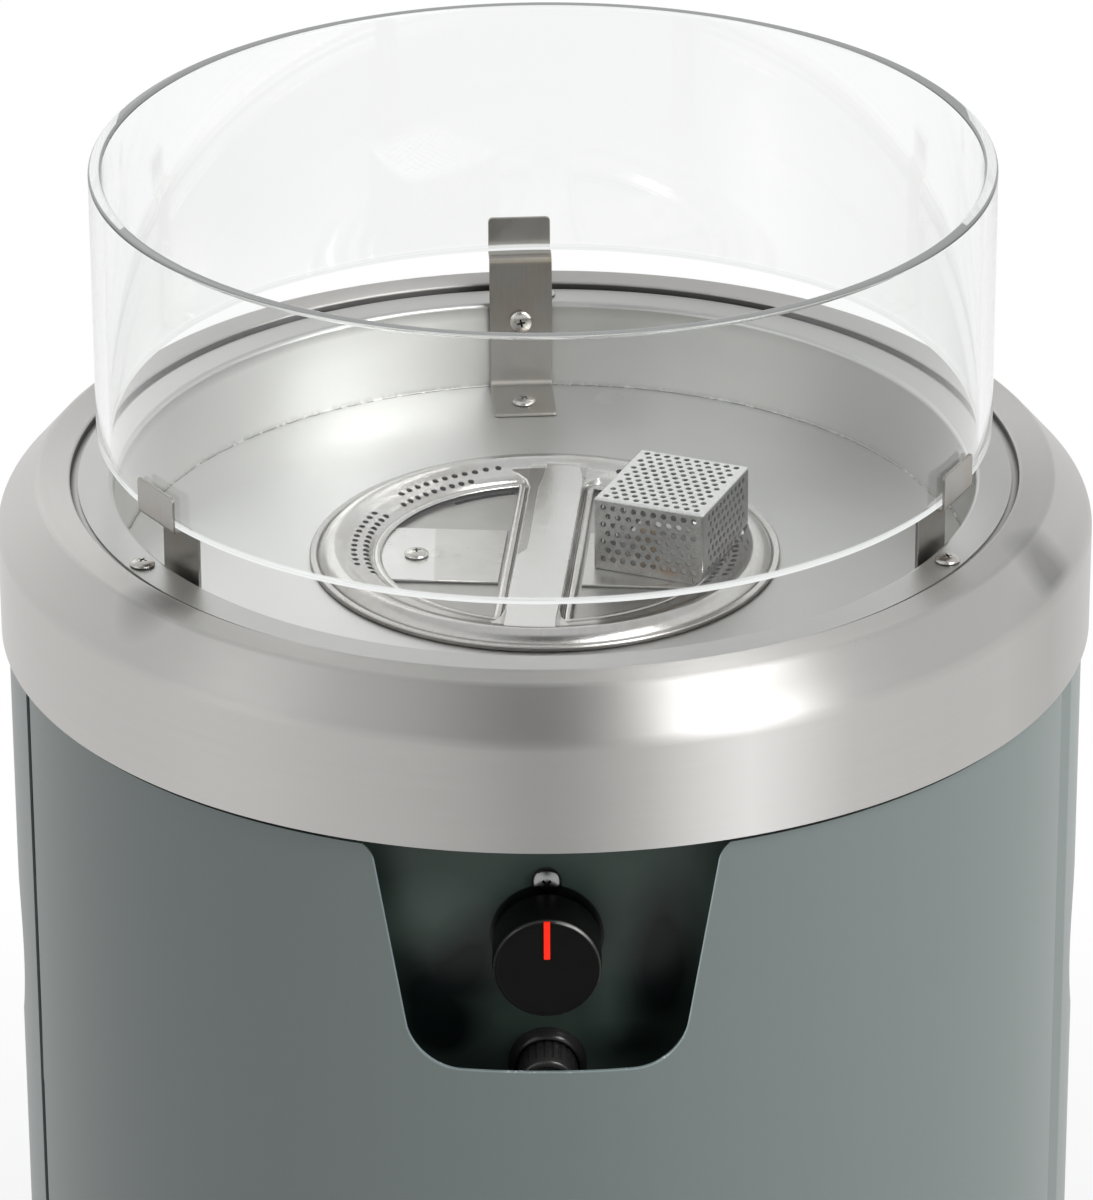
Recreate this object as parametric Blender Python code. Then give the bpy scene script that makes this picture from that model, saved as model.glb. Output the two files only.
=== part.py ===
"""Gas patio heater: a round fire column. A ring burner sits in a stainless pan behind a glass
ring, and the gas bottle stands in the body behind a curved door.
Metres, +Z up, front at -Y, origin on the floor under the middle."""

import math

import bmesh
import bpy
from mathutils import Matrix, Vector

# General clearances and counts
touch = 0.0003          # gap between pieces that lie on each other
round_touch = 0.0007    # the same between large round walls, whose facets don't line up
overrun = 0.002         # how far a cutter reaches past what it cuts
round_sides = 36        # facets round the large turned pieces
burner_sides = 32
knob_sides = 28
soft_sides = 20         # facets round middle-sized bores and caps
bore_sides = 16
slot_steps = 5
small_sides = 8         # facets round screws and pins
bend_steps = 1          # segments in a folded corner

# Heights of the column
overall_height = 1.019  # from the floor to the glass ring's rim
glass_height = 0.125
glass_lift = 0.024      # the glass ring's lower edge above the cap's flat top
cap_top = overall_height - glass_height - glass_lift
foot_height = 0.022

# The body sets how wide the cap, pan, glass and clips are
body_radius = 0.2468
body_sheet = 0.0012

# Top cap, one stamped stainless ring
cap_overhang = 0.0032
cap_chamfer_run = 0.018
cap_flat_width = 0.0155
cap_chamfer_drop = 0.0205
cap_height = 0.072
cap_sheet = 0.0012
ledge_width = 0.0135
cap_radius = body_radius + cap_overhang
cap_flat_radius = cap_radius - cap_chamfer_run
cap_well_radius = cap_flat_radius - cap_flat_width
ledge_radius = cap_well_radius - ledge_width

# Burner pan
pan_flange_drop = 0.0024
pan_flange_gap = 0.0035
pan_flange_width = 0.0165
pan_taper = 0.0020
pan_depth = 0.044
pan_sheet = 0.0010
pan_bend = 0.0025
pan_screw_inset = 0.0068
pan_flange_radius = cap_well_radius - pan_flange_gap
pan_mouth_radius = pan_flange_radius - pan_flange_width
pan_floor_radius = pan_mouth_radius - pan_taper
pan_screw_radius_at = pan_flange_radius - pan_screw_inset
pan_screw_angles = [math.radians(a) for a in (90, 210, 330)]

# Pan head screws
head_radius = 0.0056
head_height = 0.0029
shank_radius = 0.0021
shank_length = 0.007
bore_clearance = 0.0003

# Glass ring and its clips
glass_past_mouth = 0.0072
glass_radius = pan_mouth_radius + glass_past_mouth
glass_wall = 0.006
glass_edge = 0.0013
clip_width = 0.030
clip_sheet = 0.0015
clip_leg_gap = 0.0036    # from the pan's mouth to the leg's outer face
clip_leg_radius = pan_mouth_radius - clip_leg_gap
clip_foot = 0.037
clip_lap = 0.0155       # how far the tab stands up past the glass edge
clip_corner = 0.005
clip_bend = 0.002
clip_turn = math.radians(3.3)
clip_leg_screw_drop = 0.010    # leg screw below the cap's top
clip_foot_screw_in = 0.024     # foot screw inward of the leg
clip_names = ("back", "left", "right")

# Burner, heights over the pan floor
burner_turn = math.radians(-4.5)
burner_sheet = 0.0008
burner_radius = 0.108
burner_rim = 0.0035
burner_rim_rise = 0.0022
crest_inset = 0.0115
crest_radius = burner_radius - crest_inset
crest_width = 0.002
crest_rise = 0.0064
lip_inset = 0.0322
lip_radius = burner_radius - lip_inset
lip_width = 0.0026
lip_rise = 0.0036
valley_rise = 0.0030
bar_half = 0.0175
bar_strip_half = 0.0125
bar_shoulder = 0.002
shoulder_rise = 0.0039
strip_rise = 0.0061
port_radius = 0.0013
port_sides = 5
port_pitch = 0.0098
left_port_span = (math.radians(157.5), math.radians(194.5))
back_port_span = (math.radians(109), math.radians(149))
port_row_gap = 0.0045
port_past_lip = 0.0057
port_first_row = lip_radius + port_past_lip
pan_hole_inset = 0.0075
pan_hole_radius = burner_radius - pan_hole_inset

# Burner underside
channel_depth = 0.016
channel_inset = 0.0088
channel_width = 0.0192
channel_radius = burner_radius - channel_inset
channel_inner = channel_radius - channel_width
web_drop = 0.0020
inlet_radius = 0.0115
plate_sheet = 0.0012
plate_margin = 0.0015218
plate_inner = 0.0190
plate_outer_gap = 0.0083
plate_outer = lip_radius - plate_outer_gap
plate_half = math.sqrt((lip_radius - plate_margin) ** 2 - plate_outer ** 2)
window_margin = 0.0125
blank_screw_in = 0.0085
blank_screw_at = plate_outer - blank_screw_in
slot_past_plate = 0.0010
slot_radius = plate_outer + slot_past_plate
slot_width = 0.0055
slot_span = math.radians(34)

# Guard cage over the pilot
cage_turn = math.radians(-22.5)
cage_room = (0.057, 0.0525)     # the burner's radius less the cage's width and depth
cage_bar_gap = 0.0057
cage_back = 0.0003
cage_size = (burner_radius - cage_room[0], burner_radius - cage_room[1])
cage_reach = (math.cos(cage_turn) * cage_size[0] - math.sin(cage_turn) * cage_size[1]) / 2
cage_at = (bar_half + cage_bar_gap + cage_reach, cage_back)
cage_rise = 0.034
cage_sheet = 0.0010
cage_hole = 0.0026
cage_pitch = 0.0110
cage_rim = 0.0052
cage_ring_clearance = 0.0006

# Pilot, electrode and thermocouple on the pilot plate
pilot_in = (0.01946, 0.01518)
pilot_radius = 0.0055
pilot_rise = 0.017
electrode_in = (0.00893, 0.01190)
electrode_radius = 0.0030
electrode_tip_radius = 0.0009
electrode_rise = 0.024
thermocouple_in = (0.01256, 0.03180)
thermocouple_radius = 0.0022
thermocouple_rise = 0.021
stem_below = 0.018
stem_radius = 0.0016

# Mixing tube, jet and gas pipe
mixer_radius = 0.0125
mixer_wall = 0.0012
mixer_flange = 0.018
mixer_length = 0.066
mixer_window = 0.010
jet_length = 0.016
jet_bore = 0.0012
pipe_radius = 0.004
pipe_seat = 0.003
pipe_clearance = 0.0006

# Body shells
door_half_angle = math.radians(70.6)
shell_angle_left = math.radians(71.9)
shell_angle_right = math.radians(72.6)
stop_width = 0.016
stop_inset = 0.0024
stop_run = math.radians(2.0)
shell_steps = 28
door_steps = 22
hand_hole_radius = 0.043
hand_hole_drop = 0.231
vent_length = 0.040
vent_height = 0.007
vent_pitch = 0.018
vent_angles = [math.radians(a) for a in (54, 72, 108, 126)]
vent_rows = 2
vent_first = 0.075

# Door
door_gap = 0.003        # below the cap's band
door_bottom = 0.048
notch_top_half = 0.077
notch_floor_half = 0.058
notch_depth = 0.1055
notch_corner = 0.028
notch_corner_steps = 6
hinge_angle = math.radians(69.8)
hinge_inset = 0.0068
hinge_radius = body_radius - hinge_inset
pin_radius = 0.0025
pin_clearance = 0.0003
lug_reach = 0.0062
lug_sheet = 0.0025
lug_gap = 0.0005
pin_head_radius = 0.0042
pin_head_height = 0.0012
bracket_sheet = 0.0022
bracket_leaf = 0.022
bracket_turn = math.radians(4.4)

# Control panel and controls
panel_set_back = 0.0468
panel_front = body_radius - panel_set_back
panel_sheet = 0.0015
panel_half = 0.100
panel_wing_inset = 0.02354
panel_wing_angle = math.radians(71.727)
panel_wing_radius = body_radius - panel_wing_inset
panel_wing = (panel_wing_radius * math.sin(panel_wing_angle),
              panel_wing_radius * math.cos(panel_wing_angle))
hand_hole_margin = 0.006 # from the hand holes to the panel's flanges
panel_top_gap = 0.0020
panel_flange_gap = math.radians(3)
panel_flange_turn = math.radians(8)
panel_screw_drop = 0.1109
knob_drop = 0.138
knob_back_radius = 0.0240
knob_face_radius = 0.0230
knob_length = 0.0252
knob_bevel = 0.0012
knob_travel = 0.003     # push against the valve's spring
knob_stand = knob_travel + head_height + 2 * touch    # clears the panel screw when pushed
knob_bore_depth = 0.020
pointer_width = 0.0038
pointer_length = 0.0184
pointer_inset = 0.0010
pointer_proud = 0.0006
spindle_radius = 0.0040
valve_bore_depth = 0.014
panel_bore_clearance = 0.0012
valve_size = (0.040, 0.036, 0.044)
valve_nose_radius = 0.0115
valve_nose = 0.005
inlet_nut = 0.0085
inlet_nut_height = 0.009
inlet_barb_radius = 0.0050
inlet_length = 0.034
igniter_drop = 0.2010
collar_radius = 0.0175
collar_depth = 0.006
button_radius = 0.0135
button_valley = 0.0128
button_flutes = 16
button_length = 0.0240
button_travel = 0.004
stem_clearance = 0.0005
button_stem_radius = 0.0045
button_stem_length = 0.012
igniter_body_radius = 0.0135
igniter_body_length = 0.040

# Cupboard floor, partition and feet
partition_drop = 0.2900
partition_sheet = 0.0012
partition_lip = 0.012
base_sheet = 0.0015
base_rim = 0.020
base_vents = 5
base_vent_radius = 0.018
hose_hole_radius = 0.016
hose_hole_at = (0.075, -0.120)
bottle_ring_inset = 0.0868
bottle_ring_radius = body_radius - bottle_ring_inset
bottle_ring_height = 0.018
bottle_ring_sheet = 0.0015
foot_radius = 0.020
foot_neck_radius = 0.013
foot_inset = 0.0518
foot_at_radius = body_radius - foot_inset
foot_stud_radius = 0.004
foot_stud_rise = 0.010
foot_angles = [math.radians(a) for a in (45, 135, 225, 315)]
catch_angle = math.radians(56)
catch_size = (0.012, 0.042, 0.026)

# Heights that follow from the sizes above
pan_floor = cap_top - pan_depth
band_bottom = cap_top - cap_height
door_top = band_bottom - door_gap
web_top = pan_floor - web_drop
plate_top = web_top + touch + plate_sheet
cage_top = pan_floor + cage_rise
cage_foot = plate_top + touch
ledge_top = cap_top - pan_flange_drop - pan_sheet - touch
chamfer_slope = cap_chamfer_drop / (cap_radius - cap_flat_radius)
chamfer_reach = body_radius / math.cos(math.pi / round_sides) - cap_flat_radius
shell_top = cap_top - chamfer_slope * chamfer_reach - cap_sheet * math.hypot(1, chamfer_slope) - touch
shell_bottom = foot_height
base_floor = foot_height + base_sheet
knob_height = cap_top - knob_drop
igniter_height = cap_top - igniter_drop
panel_back = panel_front - panel_sheet
shell_inner = body_radius - body_sheet


def clear_scene():
    """Remove every object of the start-up scene."""
    for thing in list(bpy.data.objects):
        bpy.data.objects.remove(thing, do_unlink=True)


def material(name, colour, roughness, metallic=0.0, transmission=0.0):
    """A Principled material with a plain colour."""
    made = bpy.data.materials.new(name)
    made.use_nodes = True
    made.diffuse_color = (*colour, 1.0)
    shader = made.node_tree.nodes["Principled BSDF"]
    shader.inputs["Base Color"].default_value = (*colour, 1.0)
    shader.inputs["Roughness"].default_value = roughness
    shader.inputs["Metallic"].default_value = metallic
    shader.inputs["Transmission Weight"].default_value = transmission
    return made


def finish(name, bm, paint, origin=(0, 0, 0)):
    """Turn a bmesh drawn about the world's origin into an object with its own origin."""
    bmesh.ops.recalc_face_normals(bm, faces=bm.faces)
    bmesh.ops.translate(bm, verts=bm.verts, vec=-Vector(origin))
    mesh = bpy.data.meshes.new(name)
    bm.to_mesh(mesh)
    bm.free()
    mesh.shade_smooth()
    mesh.set_sharp_from_angle(angle=math.radians(35))
    return link(name, mesh, paint, origin)


def link(name, mesh, paint, origin=(0, 0, 0), turn=(0, 0, 0)):
    """Put a mesh in the scene as one named object."""
    thing = bpy.data.objects.new(name, mesh)
    if not mesh.materials:
        mesh.materials.append(paint)
    thing.location = origin
    thing.rotation_euler = turn
    bpy.context.collection.objects.link(thing)
    return thing


def boolean(target, bm, name, operation="DIFFERENCE"):
    """Cut the target with a mesh, or join the mesh to it, by a Boolean modifier."""
    cutter = finish(name, bm, target.data.materials[0])
    cutter.hide_render = True
    cutter.display_type = "WIRE"
    step = target.modifiers.new(name, "BOOLEAN")
    step.operation = operation
    step.object = cutter
    return cutter


def polar(radius, angle, height=0.0):
    """A point at an angle counted from +X towards +Y."""
    return Vector((radius * math.cos(angle), radius * math.sin(angle), height))


def heading(angle):
    """Level direction at an angle counted from +X towards +Y."""
    return Vector((math.cos(angle), math.sin(angle), 0))


def filleted(points, radius, steps=bend_steps):
    """The path with its inner corners rounded by short arcs."""
    rounded = [Vector(points[0])]
    for before, corner, after in zip(points, points[1:], points[2:]):
        corner = Vector(corner)
        back = Vector(before) - corner
        ahead = Vector(after) - corner
        turn = math.pi - back.angle(ahead)
        reach = min(radius * math.tan(turn / 2), back.length / 3, ahead.length / 3)
        start = corner + back.normalized() * reach
        end = corner + ahead.normalized() * reach
        for i in range(steps + 1):
            share = i / steps
            first = start.lerp(corner, share)
            rounded.append(first.lerp(corner.lerp(end, share), share))
    rounded.append(Vector(points[-1]))
    return rounded


def offset_path(points, distance):
    """The path moved to its left by a distance, with mitred corners."""
    points = [Vector(p) for p in points]
    moved = []
    for i, point in enumerate(points):
        ahead = (points[min(i + 1, len(points) - 1)] - points[min(i, len(points) - 2)]).normalized()
        behind = (points[max(i, 1)] - points[max(i - 1, 0)]).normalized()
        normal = Vector((-ahead.y - behind.y, ahead.x + behind.x)).normalized()
        stretch = normal.dot(Vector((-ahead.y, ahead.x)))
        moved.append(point + normal * distance / stretch)
    return moved


def sheet_outline(points, thickness):
    """Closed outline of a bent sheet: the path, and the path moved to its left."""
    return [Vector(p) for p in points] + offset_path(points, thickness)[::-1]


def add_ring(bm, profile, angle, axis_points):
    """One station of a turned piece. Points on the axis are shared by all stations."""
    ring = []
    for j, (radius, height) in enumerate(profile):
        if radius > 0:
            ring.append(bm.verts.new(polar(radius, angle, height)))
            continue
        if j not in axis_points:
            axis_points[j] = bm.verts.new((0, 0, height))
        ring.append(axis_points[j])
    return ring


def revolve(profile, sides=round_sides, start=0.0, sweep=math.tau, bm=None):
    """Closed body from a closed outline of (radius, height) turned about the Z axis."""
    bm = bm or bmesh.new()
    full = sweep >= math.tau
    axis_points = {}
    count = sides if full else sides + 1
    rings = [add_ring(bm, profile, start + sweep * i / sides, axis_points) for i in range(count)]
    for i in range(sides):
        ring, following = rings[i], rings[(i + 1) % count]
        for j in range(len(profile)):
            k = (j + 1) % len(profile)
            corners = list(dict.fromkeys((ring[j], ring[k], following[k], following[j])))
            if len(corners) > 2:
                bm.faces.new(corners)
    if not full:
        bm.faces.new(rings[0])
        bm.faces.new(rings[-1])
    return bm


def prism(outline, low, high, bm=None):
    """Closed body from an outline in the XY plane, raised between two heights."""
    bm = bm or bmesh.new()
    floor = [bm.verts.new((x, y, low)) for x, y in outline]
    roof = [bm.verts.new((x, y, high)) for x, y in outline]
    bm.faces.new(floor)
    bm.faces.new(roof)
    for i in range(len(outline)):
        k = (i + 1) % len(outline)
        bm.faces.new((floor[i], floor[k], roof[k], roof[i]))
    return bm


def box(size, centre, bm=None, turn=0.0):
    """Closed box, turned about its own upright axis."""
    bm = bm or bmesh.new()
    scale = Matrix.Diagonal((*size, 1.0))
    place = Matrix.Translation(centre) @ Matrix.Rotation(turn, 4, "Z")
    bmesh.ops.create_cube(bm, size=1.0, matrix=place @ scale)
    return bm


def rod(radius, length, place, sides=small_sides, bm=None):
    """Closed cylinder along the local Z axis of a placement, centred on it."""
    bm = bm or bmesh.new()
    bmesh.ops.create_cone(bm, cap_ends=True, segments=sides, radius1=radius, radius2=radius,
                          depth=length, matrix=place)
    return bm


def facing(point, direction):
    """Placement at a point with its local Z axis along a direction."""
    turn = Vector(direction).to_track_quat("Z", "Y").to_matrix().to_4x4()
    return Matrix.Translation(point) @ turn


def arc_points(radius, first, last, steps):
    """Points on a circle about the axis, seen from above."""
    return [polar(radius, first + (last - first) * i / steps).xy for i in range(steps + 1)]


def screw_mesh():
    """A pan head screw along Z, its head's underside at zero."""
    profile = [(0, head_height), (head_radius * 0.6, head_height * 0.9),
               (head_radius, head_height * 0.4), (head_radius, 0), (shank_radius, 0),
               (shank_radius, -shank_length), (0, -shank_length)]
    mesh = bpy.data.meshes.new("pan_head_screw")
    bm = revolve(profile, small_sides)
    bmesh.ops.recalc_face_normals(bm, faces=bm.faces)
    bm.to_mesh(mesh)
    bm.free()
    mesh.shade_smooth()
    mesh.set_sharp_from_angle(angle=math.radians(35))
    return mesh


def add_screw(name, mesh, seat, direction, paint):
    """A screw whose head lies on a seat, its head pointing along a direction."""
    direction = Vector(direction).normalized()
    turn = direction.to_track_quat("Z", "Y").to_euler()
    return link(name, mesh, paint, Vector(seat) + direction * touch, turn)


def screw_bore(seat, direction, bm=None):
    """Cutter for the hole that a screw's shank passes through."""
    return rod(shank_radius + bore_clearance, 2 * shank_length, facing(seat, direction),
               small_sides, bm)


def cap_profile():
    """Ledge, riser, flat, chamfer and band, drawn from the inside out."""
    path = [(ledge_radius, ledge_top), (cap_well_radius, ledge_top), (cap_well_radius, cap_top),
            (cap_flat_radius, cap_top), (cap_radius, cap_top - cap_chamfer_drop),
            (cap_radius, band_bottom)]
    return sheet_outline(path, -cap_sheet)


def make_cap(paint):
    """The stainless top ring that the pan hangs in."""
    cap = finish("top_cap", revolve(cap_profile()), paint)
    holes = bmesh.new()
    for angle in pan_screw_angles:
        screw_bore(polar(pan_screw_radius_at, angle, ledge_top), (0, 0, 1), holes)
    boolean(cap, holes, "cap_holes")


def make_pan(paint, screw, screw_paint):
    """The burner pan, hung by its flange and screwed down in three places."""
    flange_top = cap_top - pan_flange_drop
    path = [(pan_flange_radius, flange_top), (pan_mouth_radius, flange_top),
            (pan_floor_radius, pan_floor), (pan_hole_radius, pan_floor)]
    profile = sheet_outline(path[:1] + filleted(path[1:], pan_bend), pan_sheet)
    pan = finish("burner_pan", revolve(profile), paint)
    holes = bmesh.new()
    for angle in pan_screw_angles:
        screw_bore(polar(pan_screw_radius_at, angle, flange_top), (0, 0, 1), holes)
    for angle in clip_angles():
        seat = clip_leg_seat(angle)
        screw_bore(seat, heading(angle), holes)
        screw_bore(clip_foot_seat(angle), (0, 0, 1), holes)
    boolean(pan, holes, "pan_holes")
    for i, angle in enumerate(pan_screw_angles):
        seat = polar(pan_screw_radius_at, angle, flange_top)
        add_screw(f"pan_screw_{i + 1}", screw, seat, (0, 0, 1), screw_paint)


def clip_angles():
    """Directions of the three glass clips, the back one first."""
    return [clip_turn + math.radians(a) for a in (90, 210, 330)]


def clip_leg_seat(angle):
    """Where the leg screw's head lies on a clip."""
    return polar(clip_leg_radius - clip_sheet, angle, cap_top - clip_leg_screw_drop)


def clip_foot_seat(angle):
    """Where the foot screw's head lies on a clip."""
    return polar(clip_leg_radius - clip_foot_screw_in, angle, pan_floor + touch + clip_sheet)


def clip_path():
    """Foot, leg, shelf and tab of a clip: (radius, height) along the strap's outer face."""
    floor = pan_floor + touch
    shelf = cap_top + glass_lift - touch - clip_sheet
    tab = glass_radius + touch + clip_sheet
    path = [(clip_leg_radius - clip_foot, floor), (clip_leg_radius, floor),
            (clip_leg_radius, shelf), (tab, shelf),
            (tab, cap_top + glass_lift + clip_lap)]
    return path


def clip_half_width(distance_to_end):
    """The strap's half width, drawn in round its corners at the tab's end."""
    inset = max(0.0, clip_corner - distance_to_end)
    return clip_width / 2 - clip_corner + math.sqrt(clip_corner ** 2 - inset ** 2)


def strap(path, thickness, half_width):
    """A flat strap bent along a path of (radius, height), drawn at angle zero."""
    outer = [Vector(p) for p in path]
    inner = offset_path(path, thickness)
    run = [0.0]
    for a, b in zip(outer, outer[1:]):
        run.append(run[-1] + (b - a).length)
    bm = bmesh.new()
    loops = []
    for i, distance in enumerate(run):
        half = half_width(run[-1] - distance)
        corners = ((outer[i], -half), (outer[i], half), (inner[i], half), (inner[i], -half))
        loops.append([bm.verts.new((p.x, side, p.y)) for p, side in corners])
    for one, two in zip(loops, loops[1:]):
        for j in range(4):
            k = (j + 1) % 4
            bm.faces.new((one[j], one[k], two[k], two[j]))
    bm.faces.new(loops[0])
    bm.faces.new(loops[-1])
    return bm


def clip_stations():
    """The clip's bent path, with extra points where its corners are rounded."""
    path = filleted(clip_path(), clip_bend)
    top = path.pop()
    for i in (3, 2, 1, 0):
        path.append(top - Vector((0, clip_corner * (1 - math.cos(i * math.pi / 6)))))
    return path


def make_clips(paint, screw, screw_paint):
    """Three clips that carry the glass and are screwed to the pan's wall and floor."""
    for name, angle in zip(clip_names, clip_angles()):
        bm = strap(clip_stations(), clip_sheet, clip_half_width)
        bmesh.ops.rotate(bm, verts=bm.verts, cent=(0, 0, 0), matrix=Matrix.Rotation(angle, 3, "Z"))
        clip = finish(f"glass_clip_{name}", bm, paint)
        leg, foot = clip_leg_seat(angle), clip_foot_seat(angle)
        holes = screw_bore(leg, heading(angle))
        screw_bore(foot, (0, 0, 1), holes)
        boolean(clip, holes, f"clip_{name}_holes")
        add_screw(f"clip_{name}_leg_screw", screw, leg, -heading(angle), screw_paint)
        add_screw(f"clip_{name}_foot_screw", screw, foot, (0, 0, 1), screw_paint)


def make_glass(paint):
    """The glass wind guard, a plain tube with polished edges."""
    low = cap_top + glass_lift
    high = low + glass_height
    inner = glass_radius - glass_wall
    profile = [(inner, low), (glass_radius - glass_edge, low), (glass_radius, low + glass_edge),
               (glass_radius, high - glass_edge),
               (glass_radius - glass_edge, high), (inner + glass_edge, high),
               (inner, high - glass_edge)]
    finish("glass_ring", revolve(profile), paint, (0, 0, low))


def burner_ring_path():
    """Upper face of the burner ring from its rim to the lip of the openings."""
    f = pan_floor
    return [(burner_radius, f + burner_rim_rise), (burner_radius - burner_rim, f + burner_rim_rise),
            (crest_radius, f + crest_rise), (crest_radius - crest_width, f + crest_rise),
            (port_first_row - touch, f + valley_rise), (lip_radius, f + lip_rise),
            (lip_radius, web_top + touch)]


def bar_section():
    """Cross section of the bar: side walls, shoulders and the raised strip."""
    f = pan_floor
    foot = plate_top + touch
    half = [(bar_half, foot), (bar_half, f + shoulder_rise),
            (bar_strip_half + bar_shoulder, f + shoulder_rise), (bar_strip_half, f + strip_rise)]
    path = half + [(-x, z) for x, z in half[::-1]]
    return sheet_outline(path, burner_sheet)


def bar_body():
    """The bar, a channel that runs front to back between the crests of the ring."""
    bm = bmesh.new()
    ends = []
    for y in (-crest_radius + crest_width, crest_radius - crest_width):
        ends.append([bm.verts.new((p.x, y, p.y)) for p in bar_section()])
    count = len(ends[0])
    for j in range(count):
        k = (j + 1) % count
        bm.faces.new((ends[0][j], ends[0][k], ends[1][k], ends[1][j]))
    bm.faces.new(ends[0])
    bm.faces.new(ends[1])
    return bm


def port_places():
    """Port centres: two dense fields at the sides and two rows at each back quarter."""
    fields = [(left_port_span, 3), (back_port_span, 2)]
    places = []
    for (first, last), rows in fields:
        for row in range(rows):
            radius = port_first_row + row * port_row_gap
            step = port_pitch / radius
            count = int((last - first) / step)
            for i in range(count):
                angle = first + (i + 0.5 * (row % 2)) * step
                places.append((radius, angle))
                places.append((radius, math.pi - angle))
    return places


def turned_about_axis(bm, angle):
    """Turn a mesh about the column's axis."""
    bmesh.ops.rotate(bm, verts=bm.verts, cent=(0, 0, 0), matrix=Matrix.Rotation(angle, 3, "Z"))
    return bm


def make_burner_top(paint):
    """The stamped upper shell: ring, bar, two D openings and the ports."""
    profile = sheet_outline(burner_ring_path(), burner_sheet)
    ring = finish("burner_top", turned_about_axis(revolve(profile, burner_sides), burner_turn), paint)
    gate_height = pan_floor + lip_rise - 2 * burner_sheet
    gate = box((2 * (bar_half - 2 * burner_sheet), 2 * (lip_radius + lip_width), 2 * (gate_height - web_top)),
               (0, 0, web_top))
    boolean(ring, turned_about_axis(gate, burner_turn), "burner_gates")
    boolean(ring, turned_about_axis(bar_body(), burner_turn), "burner_bar", "UNION")
    ports = bmesh.new()
    for radius, angle in port_places():
        place = Matrix.Translation(polar(radius, angle, pan_floor + valley_rise))
        rod(port_radius, crest_rise, place, port_sides, ports)
    boolean(ring, turned_about_axis(ports, burner_turn), "burner_ports")


def plate_centre(side):
    """Middle of the plate in one opening of the burner, +1 for the right one."""
    middle = (plate_inner + plate_outer) / 2
    return Matrix.Rotation(burner_turn, 3, "Z") @ Vector((side * middle, 0, 0))


def slot_cutters(bm):
    """Curved air slots in the web, one each side of the bar at front and back."""
    inner = slot_radius - slot_width / 2
    outer = slot_radius + slot_width / 2
    for middle in (math.pi / 2, -math.pi / 2):
        for side in (-1, 1):
            near = middle + side * math.asin((bar_half + slot_width) / slot_radius)
            far = near + side * slot_span
            first, last = min(near, far), max(near, far)
            low, high = web_top - 2 * plate_sheet, web_top + overrun
            profile = [(inner, low), (outer, low), (outer, high), (inner, high)]
            revolve(profile, slot_steps, first + burner_turn, last - first, bm)
    return bm


def make_burner_base(paint):
    """The lower shell: flange on the pan, gas channel, and the web with its openings."""
    f = pan_floor + touch + burner_sheet
    path = [(burner_radius - overrun / 2, f), (channel_radius, f),
            (channel_radius, pan_floor - channel_depth), (channel_inner, pan_floor - channel_depth),
            (channel_inner, web_top), (inlet_radius, web_top)]
    profile = sheet_outline(path, burner_sheet)
    base = finish("burner_base", turned_about_axis(revolve(profile, burner_sides), burner_turn), paint)
    window = (plate_outer - plate_inner - 2 * window_margin, 2 * (plate_half - window_margin),
              8 * burner_sheet)
    cutter = bmesh.new()
    for side in (-1, 1):
        centre = plate_centre(side) + Vector((0, 0, web_top))
        box(window, centre, cutter, burner_turn)
    slot_cutters(cutter)
    screw_bore((-blank_screw_at, 0, web_top), (0, 0, 1), cutter)
    boolean(base, cutter, "base_openings")


def make_plates(paint, screw, screw_paint):
    """The plate that carries the pilot, and the blank plate in the other opening."""
    size = (plate_outer - plate_inner, 2 * plate_half, plate_sheet)
    lift = Vector((0, 0, web_top + touch + plate_sheet / 2))
    pilot = finish("pilot_plate", box(size, plate_centre(1) + lift, turn=burner_turn), paint)
    holes = bmesh.new()
    for place, radius in stem_places():
        rod(radius + bore_clearance, 4 * plate_sheet, Matrix.Translation((*place, plate_top)),
            small_sides, holes)
    boolean(pilot, holes, "pilot_plate_holes")
    blank = finish("blank_plate", box(size, plate_centre(-1) + lift, turn=burner_turn), paint)
    seat = Vector((-blank_screw_at, 0, plate_top))
    boolean(blank, screw_bore(seat, (0, 0, 1)), "blank_plate_hole")
    add_screw("blank_plate_screw", screw, seat, (0, 0, 1), screw_paint)


def cage_matrix():
    """Placement of the cage: its middle at the foot, turned on its plate."""
    return Matrix.Translation((*cage_at, cage_foot)) @ Matrix.Rotation(cage_turn, 4, "Z")


def in_cage(place):
    """Place on the plate of a point given by its distances from the cage's left and front."""
    across, along = place
    point = cage_matrix() @ Vector((across - cage_size[0] / 2, along - cage_size[1] / 2, 0))
    return point.x, point.y


def hole_grid(width, height):
    """Staggered hole centres on a face that spans width and height from its corner."""
    row_step = cage_pitch * math.sqrt(3) / 2
    rows = int((height - 2 * cage_rim) / row_step) + 1
    first = (height - (rows - 1) * row_step) / 2
    grid = []
    for row in range(rows):
        count = int((width - 2 * cage_rim) / cage_pitch) + 1 - row % 2
        start = (width - (count - 1) * cage_pitch) / 2
        for i in range(count):
            grid.append((start + i * cage_pitch - width / 2, first + row * row_step))
    return grid


def cage_walls():
    """The four sides as (direction of the face, its distance from the middle, its width)."""
    wide, deep = cage_size
    return [(0.0, wide / 2, deep), (math.pi / 2, deep / 2, wide),
            (math.pi, wide / 2, deep), (-math.pi / 2, deep / 2, wide)]


def cage_holes():
    """Cutter with a six-sided pin for each hole of the perforated sheet."""
    bm = bmesh.new()
    height = cage_top - cage_foot
    pin = 4 * cage_sheet
    for angle, reach, width in cage_walls():
        turn = Matrix.Rotation(angle, 4, "Z")
        for across, up in hole_grid(width, height):
            point = turn @ Vector((reach, across, up))
            rod(cage_hole, pin, facing(point, turn @ Vector((1, 0, 0))), 6, bm)
    for across, along in hole_grid(*cage_size):
        point = Vector((across, along - cage_size[1] / 2, height))
        rod(cage_hole, pin, Matrix.Translation(point), 6, bm)
    bmesh.ops.transform(bm, matrix=cage_matrix(), verts=bm.verts)
    return bm


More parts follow.
